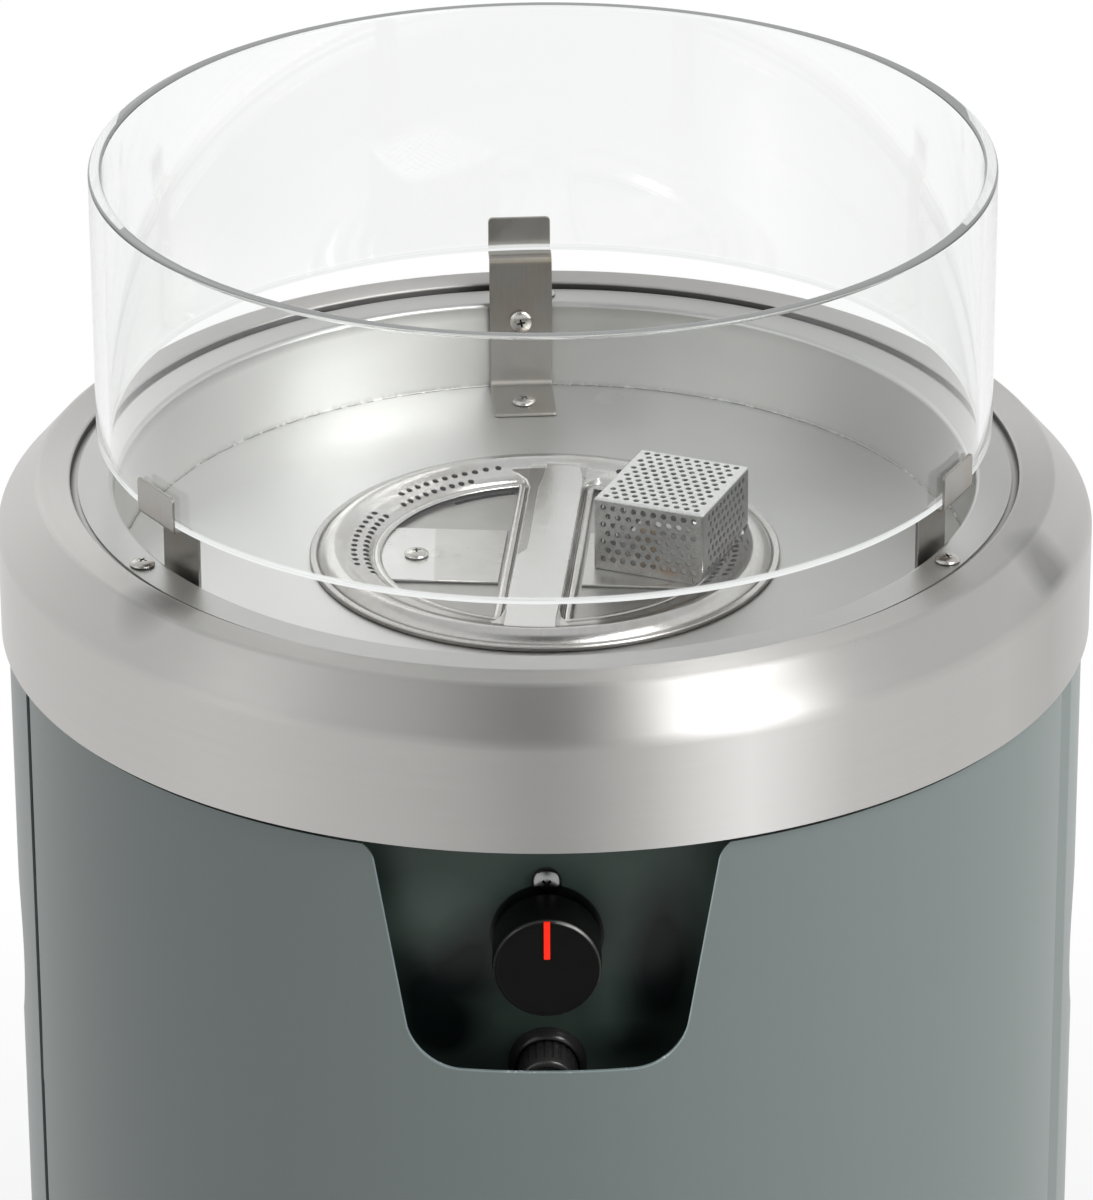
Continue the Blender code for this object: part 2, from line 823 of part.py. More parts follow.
def ring_clearance_cutter():
    """The burner ring's section, grown by the cage's clearance, as a turned cutter."""
    grow = cage_ring_clearance
    path = [(burner_radius + grow, pan_floor + crest_rise + grow)]
    path += [(crest_radius - crest_width, pan_floor + crest_rise + grow),
             (port_first_row, pan_floor + valley_rise + 2 * grow),
             (lip_radius + lip_width, pan_floor + lip_rise + grow),
             (lip_radius - grow, pan_floor + lip_rise + grow)]
    low = pan_floor - channel_depth
    return revolve(path + [(lip_radius - grow, low), (burner_radius + grow, low)], burner_sides)


def make_cage(paint):
    """Folded box of perforated sheet, open below, its walls notched over the ring."""
    height = cage_top - cage_foot
    wide, deep = cage_size
    outer = box((wide, deep, height), (0, 0, height / 2))
    bmesh.ops.transform(outer, matrix=cage_matrix(), verts=outer.verts)
    cage = finish("guard_cage", outer, paint)
    room = (wide - 2 * cage_sheet, deep - 2 * cage_sheet, height)
    inner = box(room, (0, 0, height / 2 - cage_sheet))
    bmesh.ops.transform(inner, matrix=cage_matrix(), verts=inner.verts)
    boolean(cage, inner, "cage_room")
    boolean(cage, turned_about_axis(ring_clearance_cutter(), burner_turn), "cage_notch")
    boolean(cage, cage_holes(), "cage_perforation")


def stem_places():
    """Where the pilot's pieces pass through their plate, with the radius of each stem."""
    places = [in_cage(place) for place in (pilot_in, electrode_in, thermocouple_in)]
    return [(place, stem_radius) for place in places]


def standing_piece(name, place, profile, paint):
    """A turned piece standing on the pilot plate, its heights counted from the plate."""
    raised = [(r, z + plate_top + touch) for r, z in profile]
    bm = revolve(raised, small_sides)
    bmesh.ops.translate(bm, verts=bm.verts, vec=(*place, 0))
    finish(name, bm, paint)


def make_pilot(brass, ceramic, steel):
    """Pilot burner, spark electrode and thermocouple under the cage."""
    r, h = pilot_radius, pilot_rise
    standing_piece("pilot_burner", in_cage(pilot_in),
                   [(0, h), (r * 0.8, h), (r * 0.8, h * 0.55), (r, h * 0.45), (r, 0),
                    (stem_radius, 0), (stem_radius, -stem_below), (0, -stem_below)], brass)
    r, tip, h = electrode_radius, electrode_tip_radius, electrode_rise
    standing_piece("spark_electrode", in_cage(electrode_in),
                   [(0, h), (tip, h), (tip, h * 0.7), (r * 0.7, h * 0.66), (r, h * 0.3), (r, 0),
                    (stem_radius, 0), (stem_radius, -stem_below), (0, -stem_below)], ceramic)
    r, h = thermocouple_radius, thermocouple_rise
    standing_piece("thermocouple", in_cage(thermocouple_in),
                   [(0, h), (r * 0.6, h * 0.97), (r * 0.7, h * 0.5), (r, h * 0.45), (r, 0),
                    (stem_radius, 0), (stem_radius, -stem_below), (0, -stem_below)], steel)


def mixer_bottom():
    """Height of the mixing tube's lower end."""
    return web_top - burner_sheet - touch - mixer_length


def make_gas_feed(steel, brass):
    """Mixing tube with its air windows, the jet in its lower end, and the pipe from the valve."""
    top = web_top - burner_sheet - touch
    bottom = mixer_bottom()
    inner = mixer_radius - mixer_wall
    profile = [(inner, top), (mixer_flange, top), (mixer_flange, top - mixer_wall),
               (mixer_radius, top - mixer_wall), (mixer_radius, bottom), (inner, bottom)]
    tube = finish("mixing_tube", revolve(profile, soft_sides), steel)
    windows = bmesh.new()
    middle = bottom + jet_length + mixer_window
    box((4 * mixer_radius, mixer_window, mixer_window), (0, 0, middle), windows)
    boolean(tube, windows, "air_windows")
    jet_top = bottom + jet_length - pipe_seat
    r = inner - touch
    socket = pipe_radius + pipe_clearance
    jet = [(jet_bore, jet_top), (r * 0.5, jet_top), (r, jet_top - jet_length * 0.4),
           (r, bottom - pipe_seat), (socket, bottom - pipe_seat),
           (socket, bottom + pipe_seat), (jet_bore, bottom + pipe_seat)]
    finish("gas_jet", revolve(jet, small_sides), brass)
    make_gas_pipe(brass)


def make_gas_pipe(paint):
    """The pipe: down from the jet, then forward into the back of the valve."""
    start = Vector((0, 0, mixer_bottom() + pipe_seat - touch))
    back = panel_back - valve_nose - valve_size[1]
    end = Vector((0, 2 * touch - back, knob_height))
    bend = min(start.z - end.z, mixer_length) * 0.9
    low = Vector((0, 0, end.z))
    path = [start, low + Vector((0, 0, bend))]
    for i in range(1, 6):
        share = i / 6
        path.append((low + Vector((0, 0, bend))).lerp(low, share).lerp(
            low.lerp(low + Vector((0, -bend, 0)), share), share))
    path += [low + Vector((0, -bend, 0)), end]
    curve = bpy.data.curves.new("gas_pipe", "CURVE")
    curve.dimensions = "3D"
    curve.bevel_depth = pipe_radius
    curve.bevel_resolution = 2
    curve.use_fill_caps = True
    spline = curve.splines.new("POLY")
    spline.points.add(len(path) - 1)
    for point, place in zip(spline.points, path):
        point.co = (*place, 1.0)
    link("gas_pipe", curve, paint)


def make_valve(brass, steel):
    """Gas valve behind the panel, its spindle and the hose inlet under it."""
    wide, deep, tall = valve_size
    face = -panel_back + touch + valve_nose
    body = box(valve_size, (0, face + deep / 2, knob_height))
    valve = finish("gas_valve", body, brass)
    nose = rod(valve_nose_radius, 2 * valve_nose, facing((0, face, knob_height), (0, 1, 0)), soft_sides)
    boolean(valve, nose, "valve_nose", "UNION")
    bore = rod(spindle_radius + 2 * bore_clearance, 2 * valve_bore_depth,
               facing((0, face - valve_nose, knob_height), (0, 1, 0)), bore_sides)
    boolean(valve, bore, "valve_bore")
    profile = [(0, 0), (inlet_nut, 0), (inlet_nut, inlet_nut_height),
               (inlet_barb_radius, inlet_nut_height * 1.2),
               (inlet_barb_radius * 0.8, inlet_length * 0.6),
               (inlet_barb_radius, inlet_length * 0.62),
               (inlet_barb_radius * 0.8, inlet_length), (0, inlet_length)]
    bm = revolve(profile, small_sides)
    place = facing((wide / 2 + touch, face + deep / 2, knob_height), (1, 0, 0))
    bmesh.ops.transform(bm, matrix=place, verts=bm.verts)
    finish("hose_inlet", bm, brass)


def knob_back():
    """Distance of the knob's back from the column's axis."""
    return panel_front + knob_stand


def make_knob(black, red, steel):
    """The knob with its blind bore, the red pointer let into it, and the valve's spindle."""
    pivot = (0, -knob_back(), knob_height)
    r, face, length = knob_back_radius, knob_face_radius, knob_length
    bore = spindle_radius + touch
    profile = [(bore, 0), (r, 0), (face, length - knob_bevel), (face - knob_bevel, length),
               (0, length), (0, knob_bore_depth), (bore, knob_bore_depth)]
    bm = revolve(profile, knob_sides)
    turn = Matrix.Rotation(math.pi / 2, 3, "X")
    bmesh.ops.rotate(bm, verts=bm.verts, cent=(0, 0, 0), matrix=turn)
    bmesh.ops.translate(bm, verts=bm.verts, vec=pivot)
    knob = finish("control_knob", bm, black, pivot)
    face_y = -(knob_back() + knob_length)
    slot = (pointer_width + 2 * touch, 2 * pointer_inset, pointer_length + touch)
    slot_top = knob_height + knob_face_radius + overrun
    slot_low = knob_height + knob_face_radius - pointer_length + overrun
    depth = 2 * pointer_inset
    height = slot_top - slot_low + overrun
    cutter = box((slot[0], depth, height), (0, face_y, slot_low + height / 2))
    boolean(knob, cutter, "pointer_slot")
    low = slot_low + touch
    high = knob_height + knob_face_radius - knob_bevel / 2
    thick = pointer_inset - touch + pointer_proud
    centre = (0, face_y - pointer_proud + thick / 2, (low + high) / 2)
    finish("knob_pointer", box((pointer_width, thick, high - low), centre), red, pivot)
    start = panel_back - valve_nose / 2
    end = knob_back() + knob_bore_depth - touch
    spindle = rod(spindle_radius, end - start,
                  facing((0, -(start + end) / 2, knob_height), (0, 1, 0)), bore_sides)
    finish("valve_spindle", spindle, steel, pivot)


def make_igniter(black):
    """Collar, fluted button and the spark unit behind the panel."""
    pivot = (0, -(panel_front + collar_depth), igniter_height)
    turn = Matrix.Rotation(math.pi / 2, 3, "X")
    bore = button_radius + 2 * touch
    face = panel_front + touch
    collar = [(bore, 0), (collar_radius, 0), (collar_radius, collar_depth * 0.4),
              (collar_radius - collar_depth * 0.3, collar_depth * 0.85),
              (bore + touch, collar_depth)]
    bm = revolve(collar, soft_sides)
    bmesh.ops.rotate(bm, verts=bm.verts, cent=(0, 0, 0), matrix=turn)
    bmesh.ops.translate(bm, verts=bm.verts, vec=(0, -face, igniter_height))
    finish("igniter_collar", bm, black)
    make_button(black, pivot, turn, face)
    back = panel_back - touch
    r, length, hole = igniter_body_radius, igniter_body_length, button_stem_radius + stem_clearance
    depth = button_stem_length + button_travel
    unit = [(hole, 0), (r, 0), (r, -length), (0, -length), (0, -depth), (hole, -depth)]
    bm = revolve(unit, soft_sides)
    bmesh.ops.rotate(bm, verts=bm.verts, cent=(0, 0, 0), matrix=turn)
    bmesh.ops.translate(bm, verts=bm.verts, vec=(0, -back, igniter_height))
    finish("igniter_body", bm, black)


def make_button(paint, pivot, turn, face):
    """The fluted button with its stem. It slides straight in."""
    start = button_travel + 2 * touch
    outline = []
    for i in range(button_flutes):
        for step, radius in enumerate((button_radius, button_radius, button_valley)):
            angle = math.tau * (i + step / 3) / button_flutes
            outline.append(polar(radius, angle).xy)
    bm = prism(outline, start, button_length)
    stem_back = -(panel_sheet + touch) - button_stem_length + button_travel
    bmesh.ops.rotate(bm, verts=bm.verts, cent=(0, 0, 0), matrix=turn)
    bmesh.ops.translate(bm, verts=bm.verts, vec=(0, -face, igniter_height))
    button = finish("igniter_button", bm, paint, pivot)
    length = start - stem_back + overrun
    middle = face + (start + stem_back + overrun) / 2
    stem = rod(button_stem_radius, length, facing((0, -middle, igniter_height), (0, 1, 0)), bore_sides)
    boolean(button, stem, "button_stem", "UNION")


def panel_flange_start():
    """Angle from the front at which the panel's flanges begin, clear of the door stop."""
    return shell_angle_right + stop_run + panel_flange_gap


def panel_plan():
    """The panel seen from above: flat front, wings and the flanges on the shell's inside."""
    wing_x, wing_y = panel_wing
    flange = shell_inner - round_touch - panel_sheet
    start = -math.pi / 2 + panel_flange_start()
    half = [(panel_half, -panel_back), (wing_x, -wing_y)]
    half += [tuple(p) for p in arc_points(flange, start, start + panel_flange_turn, 3)]
    left = [(-x, y) for x, y in half[::-1]]
    return sheet_outline(left + half, -panel_sheet)


def flange_notches(low):
    """Cutter that ends the panel's flanges above the hand holes of the shell."""
    bm = bmesh.new()
    wing_x, wing_y = panel_wing
    top = cap_top - hand_hole_drop + hand_hole_radius + hand_hole_margin
    tall = top - low + overrun
    for side in (-1, 1):
        middle = side * (wing_x + 2 * panel_sheet + body_radius / 2)
        box((body_radius, body_radius, tall), (middle, -wing_y, top - tall / 2), bm)
    return bm


def make_panel(paint, screw, screw_paint):
    """The bent panel that carries the controls and joins the two edges of the shell."""
    top = band_bottom - panel_top_gap
    low = cap_top - partition_drop + touch
    panel = finish("control_panel", prism(panel_plan(), low, top), paint)
    boolean(panel, flange_notches(low), "hand_hole_notches")
    bores = bmesh.new()
    spots = [(knob_height, spindle_radius + panel_bore_clearance),
             (igniter_height, button_stem_radius + panel_bore_clearance)]
    for height, radius in spots:
        rod(radius, 8 * panel_sheet, facing((0, -panel_front, height), (0, 1, 0)), bore_sides, bores)
    seat = Vector((0, -panel_front, cap_top - panel_screw_drop))
    screw_bore(seat, (0, 1, 0), bores)
    boolean(panel, bores, "panel_holes")
    add_screw("panel_screw", screw, seat, (0, -1, 0), screw_paint)


def shell_plan():
    """The rear shell seen from above, with the door stop folded in at its right edge."""
    right = -math.pi / 2 + shell_angle_right
    left = 1.5 * math.pi - shell_angle_left
    outer = arc_points(body_radius, right + stop_run, left, shell_steps)
    fold = body_radius - stop_inset
    stop_end = right - stop_width / body_radius
    stop = arc_points(fold, stop_end, right, 2)
    return sheet_outline([tuple(p) for p in stop] + [tuple(p) for p in outer], body_sheet)


def make_shell(paint):
    """The rear shell with a round hand hole on each side and vents low at the back."""
    shell = finish("rear_shell", prism(shell_plan(), shell_bottom, shell_top), paint)
    cutter = bmesh.new()
    hand_height = cap_top - hand_hole_drop
    for side in (-1, 1):
        place = facing((side * body_radius, 0, hand_height), (side, 0, 0))
        rod(hand_hole_radius, body_radius / 4, place, knob_sides, cutter)
    for angle in vent_angles:
        for row in range(vent_rows):
            centre = polar(shell_inner, angle, vent_first + row * vent_pitch)
            box((body_radius / 10, vent_length, vent_height), centre, cutter, angle)
    stop_corner(cutter)
    boolean(shell, cutter, "shell_openings")


def stop_corner(bm):
    """Cutter that frees the foot of the door stop from the base plate's rim."""
    last = -math.pi / 2 + shell_angle_right + stop_run
    first = last - stop_run - stop_width / body_radius
    wide = (last - first) * body_radius + 2 * overrun
    tall = 2 * (base_rim + overrun)
    centre = polar(body_radius, (first + last) / 2, shell_bottom)
    return box((body_radius / 10, wide, tall), centre, bm, (first + last) / 2)


def notch_outline():
    """The door's cut-out as (across, depth below the door's top), both corners rounded."""
    slope = Vector((notch_floor_half - notch_top_half, -notch_depth))
    flat = Vector((-notch_floor_half, 0))
    turn = slope.angle(flat)
    reach = notch_corner * math.tan(turn / 2)
    corner = Vector((notch_floor_half, -notch_depth))
    start = corner - slope.normalized() * reach
    end = corner + flat.normalized() * reach
    half = [Vector((notch_top_half - slope.x * overrun / notch_depth, overrun))]
    for i in range(notch_corner_steps + 1):
        share = i / notch_corner_steps
        half.append(start.lerp(corner, share).lerp(corner.lerp(end, share), share))
    return half + [Vector((-p.x, p.y)) for p in half[::-1]]


def notch_cutter():
    """The cut-out as a block through the front of the door."""
    bm = bmesh.new()
    near, far = [], []
    for point in notch_outline():
        near.append(bm.verts.new((point.x, -body_radius - overrun, door_top + point.y)))
        far.append(bm.verts.new((point.x, -body_radius * 0.85, door_top + point.y)))
    bm.faces.new(near)
    bm.faces.new(far)
    for i in range(len(near)):
        k = (i + 1) % len(near)
        bm.faces.new((near[i], near[k], far[k], far[i]))
    return bm


def hinge_point(height=0.0):
    """The hinge's axis, near the left edge of the door."""
    return polar(hinge_radius, -math.pi / 2 - hinge_angle, height)


def lug(bm, low):
    """Small flat ear on the door's inner side, round the hinge's pin."""
    angle = -math.pi / 2 - hinge_angle
    inward = hinge_radius - lug_reach
    outward = shell_inner + body_sheet / 2
    centre = polar((inward + outward) / 2, angle, low + lug_sheet / 2)
    return box((outward - inward, 2 * lug_reach * 0.8, lug_sheet), centre, bm, angle)


def make_door(paint):
    """The curved door: cut-out at the top, hinge ears at its left edge."""
    first = -math.pi / 2 - door_half_angle
    last = -math.pi / 2 + door_half_angle
    arc = arc_points(body_radius, first, last, door_steps)
    outline = sheet_outline([tuple(p) for p in arc], body_sheet)
    door = finish("front_door", prism(outline, door_bottom, door_top), paint, hinge_point())
    boolean(door, notch_cutter(), "door_notch")
    ears = lug(bmesh.new(), door_bottom)
    lug(ears, door_top - lug_sheet)
    boolean(door, ears, "door_ears", "UNION")
    bores = bmesh.new()
    for height in (door_bottom, door_top):
        rod(pin_radius + pin_clearance, 6 * lug_sheet, Matrix.Translation(hinge_point(height)),
            small_sides, bores)
    boolean(door, bores, "door_bores")


def bracket(name, level, side, paint):
    """A fixed bracket over or under the door's edge: a leaf on the shell and an ear."""
    flange = shell_inner - round_touch - bracket_sheet
    start = -math.pi / 2 - shell_angle_left - bracket_turn / 8
    leaf = arc_points(flange, start, start - bracket_turn, 3)
    outline = sheet_outline([tuple(p) for p in leaf], bracket_sheet)
    low = min(level, level + side * bracket_sheet)
    made = finish(name, prism(outline, low, low + bracket_leaf), paint)
    hinge = -math.pi / 2 - hinge_angle
    tip = hinge + (pin_radius + lug_reach / 2) / hinge_radius
    inner = hinge_radius - lug_reach
    ear_end = start - bracket_turn * 0.4
    outer_arc = arc_points(flange + bracket_sheet / 2, tip, ear_end, 5)
    inner_arc = arc_points(inner, ear_end, tip, 5)
    ear = prism([tuple(p) for p in outer_arc + inner_arc], low, low + bracket_sheet)
    boolean(made, ear, f"{name}_ear", "UNION")
    bore = rod(pin_radius + pin_clearance, 6 * bracket_sheet,
               Matrix.Translation(hinge_point(level)), small_sides)
    boolean(made, bore, f"{name}_bore")


def make_hinges(paint, steel):
    """Top and bottom brackets on the rear shell, each with its pin."""
    for name, edge, side in (("top", door_top, 1), ("bottom", door_bottom, -1)):
        level = edge + side * lug_gap
        bracket(f"hinge_bracket_{name}", level, side, paint)
        far = level + side * (bracket_sheet + touch)
        tip = edge - side * (lug_sheet + touch)
        shank = [(0, tip), (pin_radius, tip), (pin_radius, far), (pin_head_radius, far),
                 (pin_head_radius, far + side * pin_head_height), (0, far + side * pin_head_height)]
        bm = revolve(shank, small_sides)
        bmesh.ops.translate(bm, verts=bm.verts, vec=hinge_point())
        finish(f"hinge_pin_{name}", bm, steel)


def make_partition(paint):
    """Round plate between the controls and the bottle, its front edge behind the panel."""
    level = cap_top - partition_drop
    radius = shell_inner - round_touch
    profile = [(0, level), (radius, level), (radius, level - partition_lip),
               (radius - partition_sheet, level - partition_lip),
               (radius - partition_sheet, level - partition_sheet), (0, level - partition_sheet)]
    plate = finish("partition", revolve(profile), paint)
    reach = panel_back - touch - partition_sheet
    keep = bmesh.new()
    deep = body_radius
    box((4 * body_radius, deep, 4 * partition_lip), (0, -reach - deep / 2, level), keep)
    boolean(plate, keep, "partition_front")
    side_cut = bmesh.new()
    for side in (-1, 1):
        outline = side_wedge(side)
        prism(outline, level - 2 * partition_lip, level + overrun, side_cut)
    boolean(plate, side_cut, "partition_sides")
    hole = rod(hose_hole_radius, 4 * partition_lip,
               Matrix.Translation((*hose_hole_at, level)), soft_sides)
    boolean(plate, hole, "hose_hole")


def side_wedge(side):
    """The corner of the partition that lies outside one wing of the panel."""
    wing_x, wing_y = panel_wing
    margin = panel_sheet + 2 * touch
    back = -body_radius * math.cos(panel_flange_start())
    far = 1.2 * body_radius
    inner = [(panel_half - margin, -panel_back), (wing_x - margin, -wing_y + margin),
             (wing_x - margin, back)]
    outer = [(far, back), (far, -far), (panel_half - margin, -far)]
    return [(side * x, y) for x, y in inner + outer]


def make_base(paint):
    """Round base plate with an upturned rim inside the shells, on four feet."""
    low = foot_height
    radius = shell_inner - round_touch
    path = [(radius, low + base_rim), (radius, low), (0, low)]
    base = finish("base_plate", revolve(sheet_outline(path, -base_sheet)), paint)
    holes = bmesh.new()
    for angle in foot_angles:
        rod(foot_stud_radius + touch, 8 * base_sheet,
            Matrix.Translation(polar(foot_at_radius, angle, low)), small_sides, holes)
    for i in range(base_vents):
        centre = polar(bottle_ring_radius / 2, math.tau * i / base_vents, low)
        rod(base_vent_radius, 8 * base_sheet, Matrix.Translation(centre), small_sides, holes)
    boolean(base, holes, "base_holes")


def make_feet(paint):
    """Four rubber feet, each with a stud up through the base plate."""
    seat = foot_height - touch
    top = base_floor + foot_stud_rise
    profile = [(0, 0), (foot_radius, 0), (foot_radius, foot_height / 2), (foot_neck_radius, seat),
               (foot_stud_radius, seat), (foot_stud_radius, top), (0, top)]
    for i, angle in enumerate(foot_angles):
        bm = revolve(profile, 2 * small_sides - 4)
        bmesh.ops.translate(bm, verts=bm.verts, vec=polar(foot_at_radius, angle))
        finish(f"foot_{i + 1}", bm, paint)


def make_bottle_ring(paint):
    """Low ring that keeps the bottle in its place on the base plate."""
    low = base_floor + touch
    r, h, t = bottle_ring_radius, bottle_ring_height, bottle_ring_sheet
    profile = [(r, low), (r + 4 * t, low), (r + 4 * t, low + t), (r + t, low + t),
               (r + t, low + h), (r, low + h)]
    finish("bottle_ring", revolve(profile, burner_sides - 8), paint)


def make_catch(paint):
    """Magnet block on the base plate behind the free edge of the door."""
    deep, wide, tall = catch_size
    angle = -math.pi / 2 + catch_angle
    reach = shell_inner - round_touch - deep / 2 - wide ** 2 / (8 * shell_inner)
    rim_clear = base_sheet + round_touch
    low = base_floor + touch
    centre = polar(reach - rim_clear, angle, low + (tall + base_rim) / 2)
    finish("catch_magnet", box((deep, wide, tall + base_rim), centre, turn=angle), paint)


def build():
    """Make every piece of the heater."""
    clear_scene()
    stainless = material("brushed_stainless", (0.62, 0.61, 0.59), 0.28, 1.0)
    paint = material("grey_green_paint", (0.155, 0.180, 0.170), 0.45)
    panel_paint = material("dark_gloss_paint", (0.020, 0.028, 0.027), 0.22)
    glass = material("clear_glass", (0.93, 0.95, 0.95), 0.02, 0.0, 1.0)
    black = material("black_plastic", (0.012, 0.012, 0.012), 0.35)
    red = material("red_plastic", (0.72, 0.03, 0.02), 0.40)
    brass = material("brass", (0.60, 0.42, 0.18), 0.35, 1.0)
    ceramic = material("white_ceramic", (0.85, 0.83, 0.78), 0.40)
    zinc = material("zinc_plated_steel", (0.50, 0.50, 0.50), 0.35, 1.0)
    rubber = material("black_rubber", (0.015, 0.015, 0.015), 0.75)
    screw = screw_mesh()
    make_cap(stainless)
    make_pan(stainless, screw, stainless)
    make_clips(stainless, screw, stainless)
    make_glass(glass)
    make_burner_base(stainless)
    make_burner_top(stainless)
    make_plates(stainless, screw, stainless)
    make_cage(stainless)
    make_pilot(brass, ceramic, zinc)
    make_gas_feed(zinc, brass)
    make_valve(brass, zinc)
    make_knob(black, red, zinc)
    make_igniter(black)
    make_panel(panel_paint, screw, zinc)
    make_shell(paint)
    make_door(paint)
    make_hinges(zinc, zinc)
    make_partition(zinc)
    make_base(paint)
    make_feet(rubber)
    make_bottle_ring(zinc)
    make_catch(black)


build()
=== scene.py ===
import math

import bmesh
import bpy
from mathutils import Matrix, Vector


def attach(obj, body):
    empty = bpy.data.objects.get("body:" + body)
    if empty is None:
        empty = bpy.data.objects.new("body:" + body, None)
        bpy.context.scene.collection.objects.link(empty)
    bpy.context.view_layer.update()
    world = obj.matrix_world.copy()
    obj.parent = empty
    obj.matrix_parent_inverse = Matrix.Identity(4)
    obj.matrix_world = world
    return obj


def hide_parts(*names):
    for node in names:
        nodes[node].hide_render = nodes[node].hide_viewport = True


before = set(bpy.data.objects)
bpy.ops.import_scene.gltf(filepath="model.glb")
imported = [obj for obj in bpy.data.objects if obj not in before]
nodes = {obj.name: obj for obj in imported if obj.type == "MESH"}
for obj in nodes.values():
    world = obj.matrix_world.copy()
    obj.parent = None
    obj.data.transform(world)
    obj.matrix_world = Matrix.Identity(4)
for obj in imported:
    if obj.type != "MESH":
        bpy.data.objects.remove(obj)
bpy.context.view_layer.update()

capTop = 0.870      # the cap's flat top above the floor
panFloor = 0.826
print("frame loaded")


# Modelling helpers: each one is a few steps of hand modelling

def deselect():
    if bpy.context.object and bpy.context.object.mode == "EDIT":
        bpy.ops.object.mode_set(mode="OBJECT")
    bpy.ops.object.select_all(action="DESELECT")


def only(piece):
    deselect()
    piece.select_set(True)
    bpy.context.view_layer.objects.active = piece


def edit(piece, kind="EDGE"):
    only(piece)
    bpy.ops.object.mode_set(mode="EDIT")
    bpy.ops.mesh.select_mode(type=kind)


def editAll(piece, kind="EDGE"):
    edit(piece, kind)
    bpy.ops.mesh.select_all(action="SELECT")


def done():
    bpy.ops.object.mode_set(mode="OBJECT")


def drop(piece):
    bpy.data.objects.remove(piece)


def pull(x, y, z):
    # extrude what is selected
    bpy.ops.mesh.extrude_region_move(TRANSFORM_OT_translate={"value": (x, y, z)})


def cutCorners(offset, segments):
    bpy.ops.mesh.bevel(offset=offset, segments=segments, affect="VERTICES")


def add(kind, name, **settings):
    deselect()
    getattr(bpy.ops.mesh, f"primitive_{kind}_add")(**settings)
    piece = bpy.context.object
    piece.name = piece.data.name = name
    bpy.ops.object.transform_apply(location=True, rotation=True, scale=True)
    return piece


def pick(piece, test, kind="EDGE"):
    # in edit mode: select what passes a test on its middle point
    bm = bmesh.from_edit_mesh(piece.data)
    bpy.ops.mesh.select_all(action="DESELECT")
    bpy.ops.mesh.select_mode(type=kind)
    for item in {"VERT": bm.verts, "EDGE": bm.edges, "FACE": bm.faces}[kind]:
        if kind == "VERT":
            chosen = test(item.co)
        elif kind == "EDGE":
            chosen = all(test(v.co) for v in item.verts)
        else:
            chosen = test(item.calc_center_median())
        item.select_set(chosen)
    bm.select_flush_mode()
    bmesh.update_edit_mesh(piece.data)


def modify(piece, kind, **settings):
    only(piece)
    step = piece.modifiers.new(kind, kind)
    for key, value in settings.items():
        setattr(step, key, value)
    bpy.ops.object.modifier_apply(modifier=step.name)
    return piece


def carve(piece, tool, operation="DIFFERENCE"):
    modify(piece, "BOOLEAN", operation=operation, object=tool, solver="EXACT")
    drop(tool)
    return piece


def joined(name, pieces):
    deselect()
    for piece in pieces:
        piece.select_set(True)
    bpy.context.view_layer.objects.active = pieces[0]
    bpy.ops.object.join()
    pieces[0].name = pieces[0].data.name = name
    return pieces[0]


def copied(piece, name, matrix):
    twin = piece.copy()
    twin.data = piece.data.copy()
    twin.data.transform(matrix)
    twin.name = twin.data.name = name
    bpy.context.collection.objects.link(twin)
    return twin


def outward(piece, direction):
    # turn the faces so that on the whole they look along direction(centre)
    editAll(piece, "FACE")
    bpy.ops.mesh.remove_doubles(threshold=0.00001)
    bpy.ops.mesh.normals_make_consistent(inside=False)
    done()
    total = sum(face.normal.dot(direction(face.center)) * face.area
                for face in piece.data.polygons)
    if total < 0:
        editAll(piece, "FACE")
        bpy.ops.mesh.flip_normals()
        done()
    return piece


def up(centre):
    return Vector((0, 0, 1))


def radial(centre):
    return Vector((centre.x, centre.y, 0)).normalized()


def tidy(piece):
    editAll(piece, "FACE")
    bpy.ops.mesh.remove_doubles(threshold=0.00001)
    bpy.ops.mesh.normals_make_consistent(inside=False)
    done()
    return piece


def thicken(piece, thickness, offset=-1):
    return modify(piece, "SOLIDIFY", thickness=thickness, offset=offset, use_even_offset=True)


def soften(piece, width, segments, degrees=30):
    return modify(piece, "BEVEL", width=width, segments=segments, limit_method="ANGLE",
                  angle_limit=math.radians(degrees))


def turned(degrees):
    return Matrix.Rotation(math.radians(degrees), 4, "Z")


def smooth(piece, degrees=35):
    only(piece)
    bpy.ops.object.shade_smooth_by_angle(angle=math.radians(degrees))
    return modify(piece, "WEIGHTED_NORMAL", keep_sharp=True, weight=100)


def rings(name, profile, sides, at=(0, 0), solid=False):
    # a circle is extruded and scaled from one (radius, height) of the profile to the next
    radius, height = profile[0]
    piece = add("circle", name, vertices=sides, radius=radius, location=(*at, height),
                fill_type="NGON" if solid else "NOTHING")
    editAll(piece, "FACE" if solid else "EDGE")
    for nextRadius, nextHeight in profile[1:]:
        pull(0, 0, nextHeight - height)
        share = nextRadius / radius
        bpy.ops.transform.resize(value=(share, share, 1), center_override=(*at, nextHeight))
        radius, height = nextRadius, nextHeight
    done()
    return piece


def closedRing(piece):
    # bridge the last circle back to the first
    edit(piece)
    bpy.ops.mesh.select_all(action="DESELECT")
    bpy.ops.mesh.select_non_manifold()
    bpy.ops.mesh.bridge_edge_loops()
    done()
    return tidy(piece)


def roundOff(piece, radius, height, width, segments=4, slack=0.0002):
    # bevel the circle of edges that lies at a radius and height
    def onRing(co):
        return abs(math.hypot(co.x, co.y) - radius) < slack and abs(co.z - height) < slack
    edit(piece)
    pick(piece, onRing)
    bpy.ops.mesh.bevel(offset=width, segments=segments)
    done()
    return piece


def sheet(piece, thickness, direction):
    # give a surface its wall, away from the side that faces the direction
    return thicken(outward(piece, direction), thickness)


